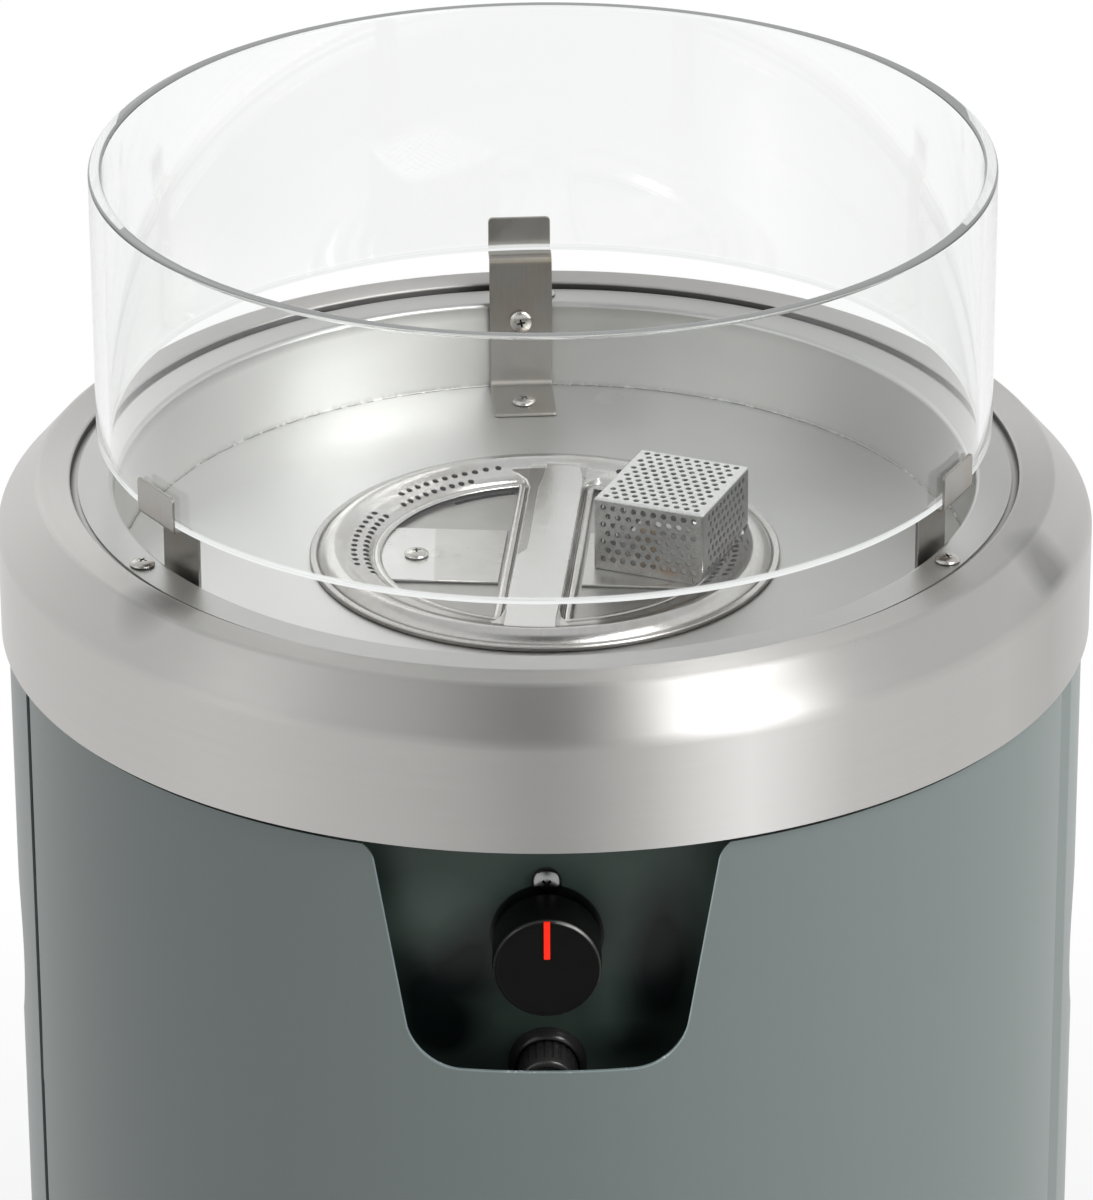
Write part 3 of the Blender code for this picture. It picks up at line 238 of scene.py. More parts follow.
def around(radius, degrees, height=0.0):
    angle = math.radians(degrees)
    return Vector((radius * math.cos(angle), radius * math.sin(angle), height))


def folded(name, plan, low, high):
    # an upright edge is pulled along a plan seen from above
    piece = add("plane", name, size=1)
    edit(piece, "VERT")
    pick(piece, lambda co: co.y > 0, "VERT")
    bpy.ops.mesh.delete(type="VERT")
    done()
    first, second = piece.data.vertices
    first.co = (*plan[0], low)
    second.co = (*plan[0], high)
    editAll(piece)
    for here, there in zip(plan, plan[1:]):
        pull(there[0] - here[0], there[1] - here[1], 0)
    done()
    return piece


def arcPlan(radius, first, last, steps):
    return [around(radius, first + (last - first) * i / steps).xy for i in range(steps + 1)]


def block(name, size, centre, turn=0.0, bevel=0.0, segments=2):
    piece = add("cube", name, size=1, location=centre, rotation=(0, 0, turn), scale=size)
    if bevel:
        soften(piece, bevel, segments)
    return piece


def pin(name, radius, length, centre, rotation=(0, 0, 0), sides=32):
    return add("cylinder", name, vertices=sides, radius=radius, depth=length, location=centre,
               rotation=rotation)


# Shader helpers: a wire carries a socket, and sums on wires add their Math nodes

class Wire:
    def __init__(self, finish, socket):
        self.finish, self.socket = finish, socket

    def math(self, operation, other=None, first=None):
        values = [first if first is not None else self, other]
        inputs = {i: v for i, v in enumerate(values) if v is not None}
        return self.finish.node("Math", {"operation": operation}, inputs)

    def __add__(self, other):
        return self.math("ADD", other)

    def __sub__(self, other):
        return self.math("SUBTRACT", other)

    def __mul__(self, other):
        return self.math("MULTIPLY", other)

    def __truediv__(self, other):
        return self.math("DIVIDE", other)

    def __rsub__(self, other):
        return self.math("SUBTRACT", self, first=other)

    def __abs__(self):
        return self.math("ABSOLUTE")

    def capped(self):
        return self.math("MINIMUM", 1.0)

    __radd__ = __add__
    __rmul__ = __mul__


class Shading:
    def __init__(self, tree):
        self.tree = tree

    def node(self, kind, settings=None, inputs=None, out=0):
        made = self.tree.nodes.new("ShaderNode" + kind)
        for key, value in (settings or {}).items():
            setattr(made, key, value)
        for key, value in (inputs or {}).items():
            self.plug(made.inputs[key], value)
        return Wire(self, made.outputs[out])

    def plug(self, socket, value):
        # a colour may be given without its alpha
        if isinstance(value, Wire):
            self.tree.links.new(value.socket, socket)
        elif socket.type == "RGBA" and len(value) == 3:
            socket.default_value = (*value, 1)
        else:
            socket.default_value = value

    def axes(self, vector):
        split = self.node("SeparateXYZ", inputs={0: vector})
        node = split.socket.node
        return [Wire(self, node.outputs[i]) for i in range(3)]

    def vector(self, x, y, z):
        return self.node("CombineXYZ", inputs={0: x, 1: y, 2: z})

    def reach(self, x, y):
        return (x * x + y * y).math("SQRT")

    def noise(self, vector, scale, detail=3.0, rough=0.5):
        return self.node("TexNoise", {"noise_dimensions": "3D"},
                         {"Vector": vector, "Scale": scale, "Detail": detail, "Roughness": rough})

    def blend(self, share, one, two):
        return self.node("Mix", {"data_type": "RGBA"}, {0: share, 6: one, 7: two}, 2)

    def band(self, value, middle, half):
        # 1 at the middle, falling to 0 at half a width away
        away = abs(value - middle)
        return self.node("MapRange", {"clamp": True}, {0: away, 1: 0.0, 2: half, 3: 1.0, 4: 0.0})

    def rise(self, value, low, high):
        return self.node("MapRange", {"clamp": True}, {0: value, 1: low, 2: high, 3: 0.0, 4: 1.0})

    def bump(self, height, strength, distance):
        return self.node("Bump", inputs={"Height": height, "Strength": strength,
                                         "Distance": distance})

    def whiteRays(self):
        # 1 for mirrored rays, and 1 for those that come straight or through glass
        straight, mirrored, through = [self.node("LightPath", out=name) for name in (
            "Is Camera Ray", "Is Glossy Ray", "Is Transmission Ray")]
        return mirrored, straight.math("MAXIMUM", through)


class Finish(Shading):
    def __init__(self, name, **values):
        self.material = bpy.data.materials.new(name)
        self.material.use_nodes = True
        super().__init__(self.material.node_tree)
        self.shader = self.tree.nodes["Principled BSDF"]
        self.set(**values)

    def set(self, **values):
        for key, value in values.items():
            self.plug(self.shader.inputs[key.replace("_", " ")], value)
        return self

    def place(self):
        return self.node("TexCoord", out="Object")

    def cover(self, share, shader):
        # lay another shader over the main one
        output = self.tree.nodes["Material Output"]
        main = Wire(self, self.shader.outputs[0])
        mixed = self.node("MixShader", inputs={0: share, 1: main, 2: shader})
        self.tree.links.new(mixed.socket, output.inputs["Surface"])


def roundGrain(finish, along, across):
    # place in the grain of a turned sheet: slow round the axis, fast across it
    x, y, z = finish.axes(finish.place())
    radius = finish.reach(x, y)
    lift = (z + radius) * across
    return finish.vector(x / radius * along, y / radius * along, lift), radius


def straightGrain(finish, scale, turn=0.0, place=None):
    return finish.node("Mapping", inputs={"Vector": place or finish.place(), "Scale": scale,
                                          "Rotation": (0, 0, turn)})


# light is the colour of a painted highlight, the darker colour after it that of painted shade, and
# spots place the painted reflection and shadow of the clip legs on the flat
capFinish = {"tone": (0.63, 0.62, 0.60), "shade": (0.53, 0.52, 0.505), "rough": 0.44,
             "light": (0.86, 0.855, 0.84), "paintedShade": (0.36, 0.36, 0.345),
             "spots": ((0.2250, -0.0918), (-0.1680, -0.1450))}


def makeCapSteel():
    made = Finish("brushedCapSteel", Metallic=1.0, Anisotropic=0.9, Anisotropic_Rotation=0.25)
    grain, radius = roundGrain(made, 7.0, 1500.0)
    streaks = made.noise(grain, 1.0, 4.0, 0.65)
    longStreaks = made.noise(roundGrain(made, 2.5, 420.0)[0], 1.0, 2.0)
    clouds = made.noise(made.place(), 9.0, 3.0)
    share = streaks * 0.55 + longStreaks * 0.25 + clouds * 0.35 - 0.08
    colour = made.blend(share, capFinish["shade"], capFinish["tone"])
    x, y, z = made.axes(made.place())
    # painted shade: the wall of the cap's well is darkened
    well = made.band(radius, 0.2163, 0.0022) * made.rise(z, capTop - 0.0006, capTop - 0.0014)
    colour = made.blend(well * 0.9, colour, (0.03, 0.03, 0.03))
    specks = made.rise(made.noise(made.place(), 900.0, 1.0), 0.70, 0.76)
    worn = specks * made.band(radius, 0.2318, 0.0024) * made.rise(clouds, 0.40, 0.60)
    colour = made.blend(worn * 0.6, colour, (0.30, 0.29, 0.28))
    # painted highlight and painted shade on the band, the front and the flat
    side = made.rise(z, capTop - 0.008, capTop - 0.016)
    # painted highlight: a lighter stretch on the front of the chamfer and band, a little right of
    # the middle
    paintedHighlight = made.band(x, 0.088, 0.045) * made.rise(y, -0.15, -0.20) * side
    colour = made.blend(paintedHighlight * 0.55, colour, capFinish["light"])
    # painted shade: darker towards the right end of the front
    paintedShadeRight = made.band(x, 0.225, 0.022) * made.rise(y, -0.03, -0.07) * side
    colour = made.blend(paintedShadeRight * 0.35, colour, capFinish["paintedShade"])
    # painted reflection: a dark stretch of the room mirrored across the front
    paintedDarkReflection = made.band(x + 0.012, 0.0, 0.150) * made.rise(y, -0.08, -0.20)
    colour = made.blend(paintedDarkReflection * 0.34, colour, capFinish["paintedShade"])
    # painted shade: the flat is darker at the left front and on the right
    paintedFlatShade = made.band(x, -0.165, 0.06) * made.rise(y, -0.06, -0.12)
    paintedFlatShade = paintedFlatShade + made.rise(x, 0.170, 0.205) * made.rise(y, 0.05, -0.02)
    flat = made.rise(radius, 0.2165, 0.2185) * made.rise(radius, 0.2490, 0.2460)
    ledge = flat * made.rise(z, capTop - 0.0012, capTop - 0.0006)
    colour = made.blend((paintedFlatShade * ledge).capped() * 0.28, colour, capFinish["paintedShade"])
    # painted reflection and shadow of the clip legs: dark soft spots on the flat
    for spotX, spotY in capFinish["spots"]:
        away = made.reach(x - spotX, y - spotY)
        paintedLegReflection = made.rise(away + clouds * 0.006, 0.025, 0.009) * flat
        colour = made.blend(paintedLegReflection * 0.55, colour, (0.16, 0.16, 0.155))
    rough = streaks * 0.12 + clouds * 0.06 + capFinish["rough"] - 0.07
    made.set(Base_Color=colour, Roughness=rough)
    made.set(Normal=made.bump(streaks + longStreaks * 0.5, 0.10, 0.0004))
    return made.material


def makeStrapSteel():
    made = Finish("brushedStrapSteel", Metallic=1.0)
    grain = made.noise(straightGrain(made, (900.0, 900.0, 60.0)), 1.0, 4.0, 0.6)
    clouds = made.noise(made.place(), 45.0, 3.0)
    warm = made.blend(made.rise(clouds, 0.45, 0.75), (0.33, 0.32, 0.305), (0.31, 0.275, 0.23))
    tone = made.blend(grain * 0.5, warm, (0.46, 0.44, 0.41))
    z = made.axes(made.place())[2]
    fold = made.band(z, 0.8912, 0.0022) + made.band(z, panFloor + 0.0030, 0.0030)
    tone = made.blend(fold * clouds * 0.9, tone, (0.52, 0.45, 0.34))
    made.set(Base_Color=made.blend(made.rise(z, 0.872, 0.838) * 0.35, tone, (0.62, 0.61, 0.58)))
    made.set(Roughness=grain * 0.15 + clouds * 0.12 + 0.20, Normal=made.bump(grain, 0.10, 0.0003))
    return made.material


# light is the colour of the pan's painted highlight, and patch the centre of its brighter patch
panFinish = {"tone": (0.60, 0.60, 0.58), "shade": (0.46, 0.46, 0.45), "cornerLine": 0.1941,
             "light": (0.93, 0.93, 0.915), "highlightPatch": (-0.078, 0.145)}


def makePanSteel():
    made = Finish("panSteel", Metallic=1.0)
    place = made.place()
    x, y, z = made.axes(place)
    radius = made.reach(x, y)
    rolled = made.noise(straightGrain(made, (40.0, 900.0, 900.0)), 1.0, 3.0, 0.6)
    clouds = made.noise(place, 14.0, 4.0, 0.6)
    broad = made.noise(place, 5.0, 2.0)
    ragged = made.noise(place, 160.0, 3.0, 0.7)
    tone = made.blend(clouds * 0.8 + rolled * 0.3 - 0.05, panFinish["shade"],
                      panFinish["tone"])
    # a dark ragged line along the corner of the wall and the floor
    edge = made.band(radius + ragged * 0.0016, panFinish["cornerLine"] + 0.0008, 0.0007)
    low = made.band(z, panFloor, 0.003)
    cornerLine = edge * low * made.rise(ragged, 0.38, 0.50)
    depth = made.rise(z, panFloor + 0.040, panFloor + 0.034)
    # painted highlight: lighter at the left, in a patch on wall and floor at the back left, and at
    # the back right, all below the flange
    highlightPatch = made.reach(x - panFinish["highlightPatch"][0], y - panFinish["highlightPatch"][1]) + broad * 0.03
    side = made.rise(x + clouds * 0.02, -0.004, -0.024)
    spread = made.rise(highlightPatch, 0.130, 0.060) * side
    highlightPatch = made.rise(highlightPatch, 0.088, 0.035) * side
    left = made.rise(x + broad * 0.04, 0.06, -0.06)
    wall = made.rise(radius, 0.1935, 0.1965)
    right = made.band(x, 0.060, 0.100) * made.rise(y, 0.08, 0.15)
    paintedPanHighlight = left * 0.42 + spread * wall * 0.9 + right * 0.45 - highlightPatch * (1.0 - wall) * 0.12
    paintedPanHighlight = (paintedPanHighlight * depth).capped()
    tone = made.blend(paintedPanHighlight, tone, panFinish["light"])
    made.set(Base_Color=made.blend(cornerLine * 0.8, tone, (0.07, 0.06, 0.05)))
    made.set(Roughness=clouds * 0.16 + rolled * 0.10 + 0.27)
    waves = broad * 0.9 + clouds * 0.25
    fine = made.bump(rolled, 0.06, 0.0003)
    wavy = made.node("Bump", inputs={"Height": waves, "Strength": 0.35, "Distance": 0.004,
                                     "Normal": fine})
    made.set(Normal=wavy)
    return made.material


# soot is the dark colour of the grooves and of the painted shadow at the rim's foot
burnerFinish = {"turn": -4.5, "tone": (0.66, 0.65, 0.63), "heat": (0.40, 0.34, 0.27),
                "sootAndShade": (0.05, 0.035, 0.025)}


def makeBurnerSteel():
    made = Finish("burnerSteel", Metallic=1.0)
    own = made.node("Mapping", {"vector_type": "TEXTURE"},
                    {"Vector": made.place(),
                     "Rotation": (0, 0, math.radians(burnerFinish["turn"]))})
    x, y, z = made.axes(own)
    radius = made.reach(x, y)
    clouds = made.noise(own, 38.0, 5.0, 0.65)
    spots = made.noise(own, 170.0, 3.0, 0.6)
    grain = made.noise(straightGrain(made, (900.0, 60.0, 300.0), place=own), 1.0, 3.0)
    heat = made.rise(clouds + spots * 0.25, 0.55, 0.85)
    tone = made.blend(grain * 0.5, (0.53, 0.525, 0.51), burnerFinish["tone"])
    tone = made.blend(heat * 0.28, tone, burnerFinish["heat"])
    side = abs(x)
    inside = made.rise(radius, 0.094, 0.088)
    middle = made.rise(side, 0.0134, 0.0130) * inside
    plate = made.rise(z + (spots - 0.5) * 0.0002, panFloor + 0.0039, panFloor + 0.0042) * middle
    tone = made.blend(middle * (1.0 - plate) * 0.5, tone, (0.36, 0.35, 0.335))
    tone = made.blend(plate * 0.6, tone, (0.80, 0.795, 0.78))
    sunk = made.rise(z, panFloor + 0.0028, panFloor + 0.0016)
    groove = made.band(side, 0.0135, 0.0008) * inside * made.rise(spots, 0.25, 0.40)
    weld = made.band(side, 0.0127, 0.0012) * inside * made.rise(clouds, 0.48, 0.60) * 0.5
    groove = groove * sunk + weld
    # the grooves beside the bar and round the rim are darkened, and the rim's foot is darkened as a
    # painted shadow under its edge
    rimGroove = made.band(radius, 0.1042, 0.0009) * 0.8
    foot = made.band(radius, 0.1085, 0.0012)
    darkGroovesAndRimShadow = (groove + rimGroove + foot).capped()
    made.set(Base_Color=made.blend(darkGroovesAndRimShadow * 0.85, tone, burnerFinish["sootAndShade"]))
    made.set(Roughness=clouds * 0.14 + darkGroovesAndRimShadow * 0.3 + 0.14)
    dents = made.bump(clouds, 0.12, 0.002)
    made.set(Normal=made.node("Bump", inputs={"Height": grain + spots * 0.4, "Strength": 0.08,
                                              "Distance": 0.0003, "Normal": dents}))
    return made.material


def makeChamberSteel():
    # the burner's underside: satin web, and a channel made near black as painted shade inside the
    # burner
    made = Finish("chamberSteel", Metallic=1.0)
    place = made.place()
    x, y, z = made.axes(place)
    radius = made.reach(x, y)
    clouds = made.noise(place, 55.0, 4.0, 0.6)
    grain = made.noise(straightGrain(made, (60.0, 1000.0, 600.0)), 1.0, 3.0)
    web = made.blend(clouds, (0.36, 0.355, 0.34), (0.50, 0.49, 0.47))
    # painted shade: the channel under the ports is near black, so the ports look dark
    sootAndShade = made.rise(radius + clouds * 0.003, 0.0770, 0.0795)
    made.set(Base_Color=made.blend(sootAndShade, web, (0.012, 0.011, 0.010)))
    made.set(Roughness=grain * 0.14 + clouds * 0.10 + sootAndShade * 0.3 + 0.26)
    made.set(Normal=made.bump(grain, 0.08, 0.0003))
    return made.material


def makePlateSteel():
    made = Finish("brightPlateSteel", Metallic=1.0)
    grain = made.noise(straightGrain(made, (60.0, 1200.0, 900.0), math.radians(4.5)), 1.0, 3.0)
    clouds = made.noise(made.place(), 60.0, 4.0, 0.6)
    tone = made.blend(clouds, (0.50, 0.49, 0.46), (0.66, 0.65, 0.62))
    x = made.axes(made.place())[0]
    tone = made.blend(made.rise(x, -0.0500, -0.0512) * 0.5, tone, (0.84, 0.84, 0.83))
    made.set(Base_Color=tone, Roughness=grain * 0.12 + clouds * 0.12 + 0.18)
    made.set(Normal=made.bump(grain, 0.06, 0.0003))
    return made.material


cageBox = {"at": (0.0582, 0.0022), "turn": -22.5, "size": (0.0535, 0.0590), "top": 0.8606,
           "wall": 0.0009}
# roof is the colour of the top's painted highlight
cageFinish = {"tone": (0.55, 0.55, 0.53), "shade": (0.17, 0.17, 0.16), "roof": (0.86, 0.86, 0.85),
              "burnt": (0.36, 0.17, 0.05)}


def makeCageSteel():
    made = Finish("cageSteel", Metallic=1.0)
    place = made.place()
    own = made.node("Mapping", {"vector_type": "TEXTURE"},
                    {"Vector": place, "Location": (*cageBox["at"], 0),
                     "Rotation": (0, 0, math.radians(cageBox["turn"]))})
    across, back, level = made.axes(own)
    wide, deep = cageBox["size"]
    inner = cageBox["wall"] * 0.75
    inside = 1.0
    for way, limit in ((abs(across), wide / 2), (abs(back), deep / 2), (level, cageBox["top"])):
        inside = made.rise(way, limit - inner + 0.0001, limit - inner - 0.0001) * inside
    clouds = made.noise(place, 70.0, 4.0, 0.6)
    specks = made.noise(place, 700.0, 2.0)
    low = made.rise(level, panFloor + 0.013, panFloor + 0.001)
    tone = made.blend(specks * 0.7 + clouds * 0.4 - 0.05, cageFinish["shade"], cageFinish["tone"])
    # painted highlight: the top is lighter
    roof = made.rise(level, cageBox["top"] - 0.0012, cageBox["top"] - 0.0004)
    tone = made.blend(roof * (specks * 0.5 + 0.5), tone, cageFinish["roof"])
    stainsAndShade = made.blend(low * made.rise(clouds, 0.42, 0.62) * 0.5, tone, (0.20, 0.13, 0.08))
    burnt = (made.band(across, 0.0095, 0.0085) * made.band(level, panFloor + 0.0042, 0.0034)
             * made.rise(back, -0.02, -0.025) * made.rise(specks * 0.5 + clouds * 0.5, 0.38, 0.46))
    stainsAndShade = made.blend(burnt * 0.9, stainsAndShade, cageFinish["burnt"])
    # painted shade: the inner faces of the walls and top are near black
    stainsAndShade = made.blend(inside * 0.92, stainsAndShade, (0.03, 0.03, 0.03))
    made.set(Base_Color=stainsAndShade, Roughness=specks * 0.15 + clouds * 0.15 + inside * 0.3 + 0.22)
    made.set(Normal=made.bump(specks + clouds, 0.12, 0.0003))
    return made.material


glassEdge, glassTop = 0.894, 1.019


def makeGlass():
    made = Finish("clearGlass", Base_Color=(0.958, 0.966, 0.962), Roughness=0.0,
                  Transmission_Weight=1.0, IOR=1.47)
    z = made.axes(made.place())[2]
    # painted highlight: the lower and upper edges glow white through an emission laid over the glass
    paintedEdgeGlow = made.rise(z, glassEdge + 0.0022, glassEdge + 0.0016)
    rim = made.rise(z, glassTop - 0.0010, glassTop - 0.0004)
    white = made.node("Emission", inputs={"Color": (0.90, 0.92, 0.91), "Strength": 1.0})
    made.cover(paintedEdgeGlow * 0.75 + rim * 0.30, white)
    smear = made.noise(straightGrain(made, (4.0, 4.0, 1.2)), 3.0, 2.0)
    made.set(Normal=made.bump(smear, 0.02, 0.002))
    made.set(Roughness=made.rise(smear, 0.62, 0.80) * 0.03)
    return made.material


rimLine = {"floor": 0.6895, "half": 0.058, "slope": 0.1678, "arcX": 0.0375, "arc": 0.0242,
           "side": 0.0202}
paintFinish = {"tone": (0.150, 0.180, 0.173), "deep": (0.136, 0.166, 0.159)}


def makePaint():
    made = Finish("greenGreyPaint", Metallic=0.0, IOR=1.5, Coat_Weight=0.25, Coat_Roughness=0.30)
    place = made.place()
    specks = made.noise(place, 1600.0, 2.0)
    peel = made.noise(place, 420.0, 2.0)
    clouds = made.noise(straightGrain(made, (3.0, 3.0, 1.0)), 2.0)
    share = specks * 0.35 + clouds * 0.65
    tone = made.blend(share, paintFinish["deep"], paintFinish["tone"])
    # distance from the rim of the cut-out: straight side, floor and rounded corner
    x, y, z = made.axes(place)
    across, lift = abs(x), z - rimLine["floor"]
    side = (across - rimLine["half"] - lift * rimLine["slope"]) * 0.984
    arcX, arcZ = across - rimLine["arcX"], lift - rimLine["arc"]
    arc = made.reach(arcX, arcZ) - rimLine["arc"]
    upper = made.rise(lift, rimLine["side"] - 0.0002, rimLine["side"])
    inner = made.rise(across, rimLine["arcX"] + 0.0002, rimLine["arcX"])
    away = side * upper + (arc * (1.0 - inner) - lift * inner) * (1.0 - upper)
    ragged = made.noise(place, 260.0, 3.0, 0.7)
    # painted highlight: a pale line along the rim of the cut-out, where the sheet's edge catches the
    # light, with brighter ragged specks along its lower part
    paintedEdgeHighlight = made.rise(abs(away), 0.0008, 0.0003) * made.rise(y, -0.10, -0.15)
    paintedEdgeHighlight = paintedEdgeHighlight * made.rise(lift, 0.108, 0.104) * made.rise(lift, -0.004, -0.002)
    tone = made.blend(paintedEdgeHighlight * (ragged * 0.5 + 0.35), tone, (0.32, 0.40, 0.41))
    edgeSpecks = paintedEdgeHighlight * made.rise(ragged, 0.58, 0.66) * made.rise(lift, 0.026, 0.018)
    made.set(Base_Color=made.blend(edgeSpecks * 0.8, tone, (0.80, 0.84, 0.84)))
    made.set(Roughness=specks * 0.08 + clouds * 0.05 + 0.36)
    made.set(Normal=made.bump(peel + specks * 0.5, 0.05, 0.0003))
    return made.material


knobFace = {"height": 0.732, "rim": 0.0233}
# painted light and shade on the panel, such as the knob's shadow at its lower left: x, z, width,
# height and change of each soft spot
paintedPanelShading = ((-0.052, 0.703, 0.032, 0.034, -0.60), (-0.044, 0.680, 0.026, 0.022, -0.40),
              (-0.032, 0.724, 0.020, 0.026, -0.50), (0.050, 0.706, 0.024, 0.038, -0.60),
              (0.052, 0.738, 0.018, 0.036, -0.45), (0.034, 0.676, 0.026, 0.014, -0.40),
              (-0.074, 0.762, 0.016, 0.026, -0.25), (-0.050, 0.742, 0.028, 0.024, 0.45),
              (0.034, 0.766, 0.036, 0.024, 0.20), (0.0265, 0.700, 0.013, 0.030, 0.30),
              (-0.004, 0.691, 0.022, 0.010, 0.20), (0.074, 0.755, 0.010, 0.030, 0.30))


def makePanelPaint():
    made = Finish("darkGlossPaint", IOR=1.5, Specular_IOR_Level=0.3)
    place = made.place()
    peel = made.noise(place, 260.0, 2.0)
    clouds = made.noise(place, 18.0, 3.0)
    x, y, z = made.axes(place)
    tone = made.blend(clouds, (0.004, 0.0075, 0.0070), (0.008, 0.014, 0.013))
    # painted light and shade: soft spots lighten or darken the panel
    lit = 0.50 + (clouds - 0.5) * 0.2
    for spotX, spotZ, wide, tall, change in paintedPanelShading:
        away = made.reach((x - spotX) * (1 / wide), (z - spotZ) * (1 / tall))
        lit = lit + made.rise(away, 1.0, 0.1) * change
    tone = made.blend(lit.math("MAXIMUM", 0.0), tone, (0.110, 0.160, 0.135))
    # painted shadow: a black disc on the panel behind the knob
    lift = z - knobFace["height"] - 0.0004
    paintedKnobShadow = made.rise(made.reach(x, lift), 0.0254, 0.0248)
    made.set(Base_Color=made.blend(paintedKnobShadow * 0.95, tone, (0.002, 0.002, 0.002)))
    made.set(Roughness=clouds * 0.10 + 0.24, Normal=made.bump(peel, 0.06, 0.0004))
    return made.material


def makeBlackPlastic():
    made = Finish("blackPlastic", IOR=1.48, Specular_IOR_Level=0.09)
    place = made.place()
    grain = made.noise(place, 2600.0, 2.0)
    clouds = made.noise(place, 90.0, 3.0)
    x, y, z = made.axes(place)
    lift = z - knobFace["height"]
    reach = made.reach(x, lift)
    # painted highlight: a lighter line round the rim of the knob's face, and a glint at its upper
    # right
    rim = made.band(reach, knobFace["rim"], 0.0006) * made.rise(y, -0.2295, -0.2305)
    glint = rim * made.band(x, 0.0125, 0.0095) * made.rise(lift, 0.009, 0.018)
    face = made.rise(y, -0.2308, -0.2314) * made.rise(reach, 0.0232, 0.0222)
    tone = made.blend(clouds, (0.004, 0.004, 0.004), (0.009, 0.009, 0.0085))
    tone = made.blend(face * 0.5, tone, (0.0, 0.001, 0.0))
    tone = made.blend(rim * 0.8 + glint, tone, (0.075, 0.075, 0.072))
    made.set(Base_Color=made.blend(glint * 0.8, tone, (0.70, 0.70, 0.68)))
    made.set(Roughness=grain * 0.14 + clouds * 0.10 - rim * 0.14 + 0.22, Coat_Weight=rim)
    made.set(Normal=made.bump(grain, 0.06, 0.0002))
    return made.material


def makeGlossPlastic():
    made = Finish("glossPlastic", IOR=1.5, Specular_IOR_Level=0.6)
    place = made.place()
    grain = made.noise(place, 1800.0, 2.0)
    clouds = made.noise(place, 70.0, 3.0)
    z = made.axes(place)[2]
    tone = made.blend(clouds, (0.030, 0.028, 0.028), (0.055, 0.052, 0.051))
    # painted shade: below the top the collar and button are darker
    made.set(Base_Color=made.blend(made.rise(z, 0.684, 0.672), tone, (0.016, 0.016, 0.016)))
    made.set(Roughness=grain * 0.08 + clouds * 0.10 + 0.16, Normal=made.bump(grain, 0.05, 0.0002))
    return made.material


def makeMetal(name, tone, shade, rough, scale=220.0):
    made = Finish(name, Metallic=1.0)
    place = made.place()
    clouds = made.noise(place, scale, 4.0, 0.6)
    fine = made.noise(place, scale * 7, 2.0)
    made.set(Base_Color=made.blend(clouds, shade, tone))
    made.set(Roughness=clouds * 0.16 + fine * 0.08 + rough, Normal=made.bump(fine, 0.06, 0.0002))
    return made.material


def makeSpeckled(name, shade, tone, scale, rough, relief=None, **values):
    # moulded or glazed stuff: one fine noise drives its colour, its gloss and its relief
    made = Finish(name, **values)
    fine = made.noise(made.place(), scale, 3.0)
    colour = made.blend(fine, shade, tone)
    made.set(Base_Color=colour, Roughness=fine * rough[0] + rough[1])
    if relief:
        made.set(Normal=made.bump(fine, *relief))
    # painted light: given an emission strength, the colour also glows
    if "Emission_Strength" in values:
        made.set(Emission_Color=colour)
    return made.material


capSteel = makeCapSteel()
strapSteel = makeStrapSteel()
panSteel = makePanSteel()
chamberSteel = makeChamberSteel()
burnerSteel = makeBurnerSteel()
plateSteel = makePlateSteel()
cageSteel = makeCageSteel()
clearGlass = makeGlass()
bodyPaint = makePaint()
panelPaint = makePanelPaint()
blackPlastic = makeBlackPlastic()
glossPlastic = makeGlossPlastic()
# painted light: the red pointer glows a little through its emission
redPlastic = makeSpeckled("redPlastic", (0.92, 0.018, 0.006), (1.0, 0.030, 0.010), 300.0,
                          (0.15, 0.30), (0.05, 0.0002), IOR=1.48, Specular_IOR_Level=0.15,
                          Emission_Strength=0.35)
screwSteel = makeMetal("screwSteel", (0.66, 0.64, 0.60), (0.50, 0.48, 0.45), 0.14)
# painted shade: the screws' cross recesses take a near-black metal
paintedRecessShade = makeMetal("paintedRecessShade", (0.05, 0.045, 0.04), (0.02, 0.02, 0.02), 0.45)
darkScrew = makeMetal("darkScrewSteel", (0.36, 0.36, 0.36), (0.24, 0.24, 0.24), 0.10)
zincSteel = makeMetal("zincSteel", (0.58, 0.58, 0.57), (0.44, 0.44, 0.43), 0.26, 60.0)
brass = makeMetal("turnedBrass", (0.66, 0.45, 0.19), (0.50, 0.33, 0.13), 0.22)
hotSteel = makeMetal("hotSteel", (0.42, 0.33, 0.24), (0.26, 0.21, 0.17), 0.30)
rubber = makeSpeckled("blackRubber", (0.010, 0.010, 0.010), (0.022, 0.022, 0.021), 900.0,
                      (0.2, 0.6), (0.15, 0.0003))
ceramic = makeSpeckled("whiteCeramic", (0.70, 0.67, 0.60), (0.84, 0.82, 0.77), 260.0,
                       (0.15, 0.25), IOR=1.5, Coat_Weight=0.4)
print("finishes made")


def dress(piece, *materials):
    marks = [face.material_index for face in piece.data.polygons]
    piece.data.materials.clear()
    for material in materials:
        piece.data.materials.append(material)
    for face, mark in zip(piece.data.polygons, marks):
        face.material_index = min(mark, len(materials) - 1)


def seat(piece, body, slot, material, *replaced):
    dress(piece, *(material if isinstance(material, tuple) else (material,)))
    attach(piece, body)
    if replaced:
        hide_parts(*replaced)
    return piece


# Top cap

cap = {"radius": 0.250, "flat": 0.232, "well": 0.2165, "ledge": 0.203, "ledgeTop": 0.8663,
       "chamferLow": 0.8495, "low": 0.798, "wall": 0.0012, "sides": 288}


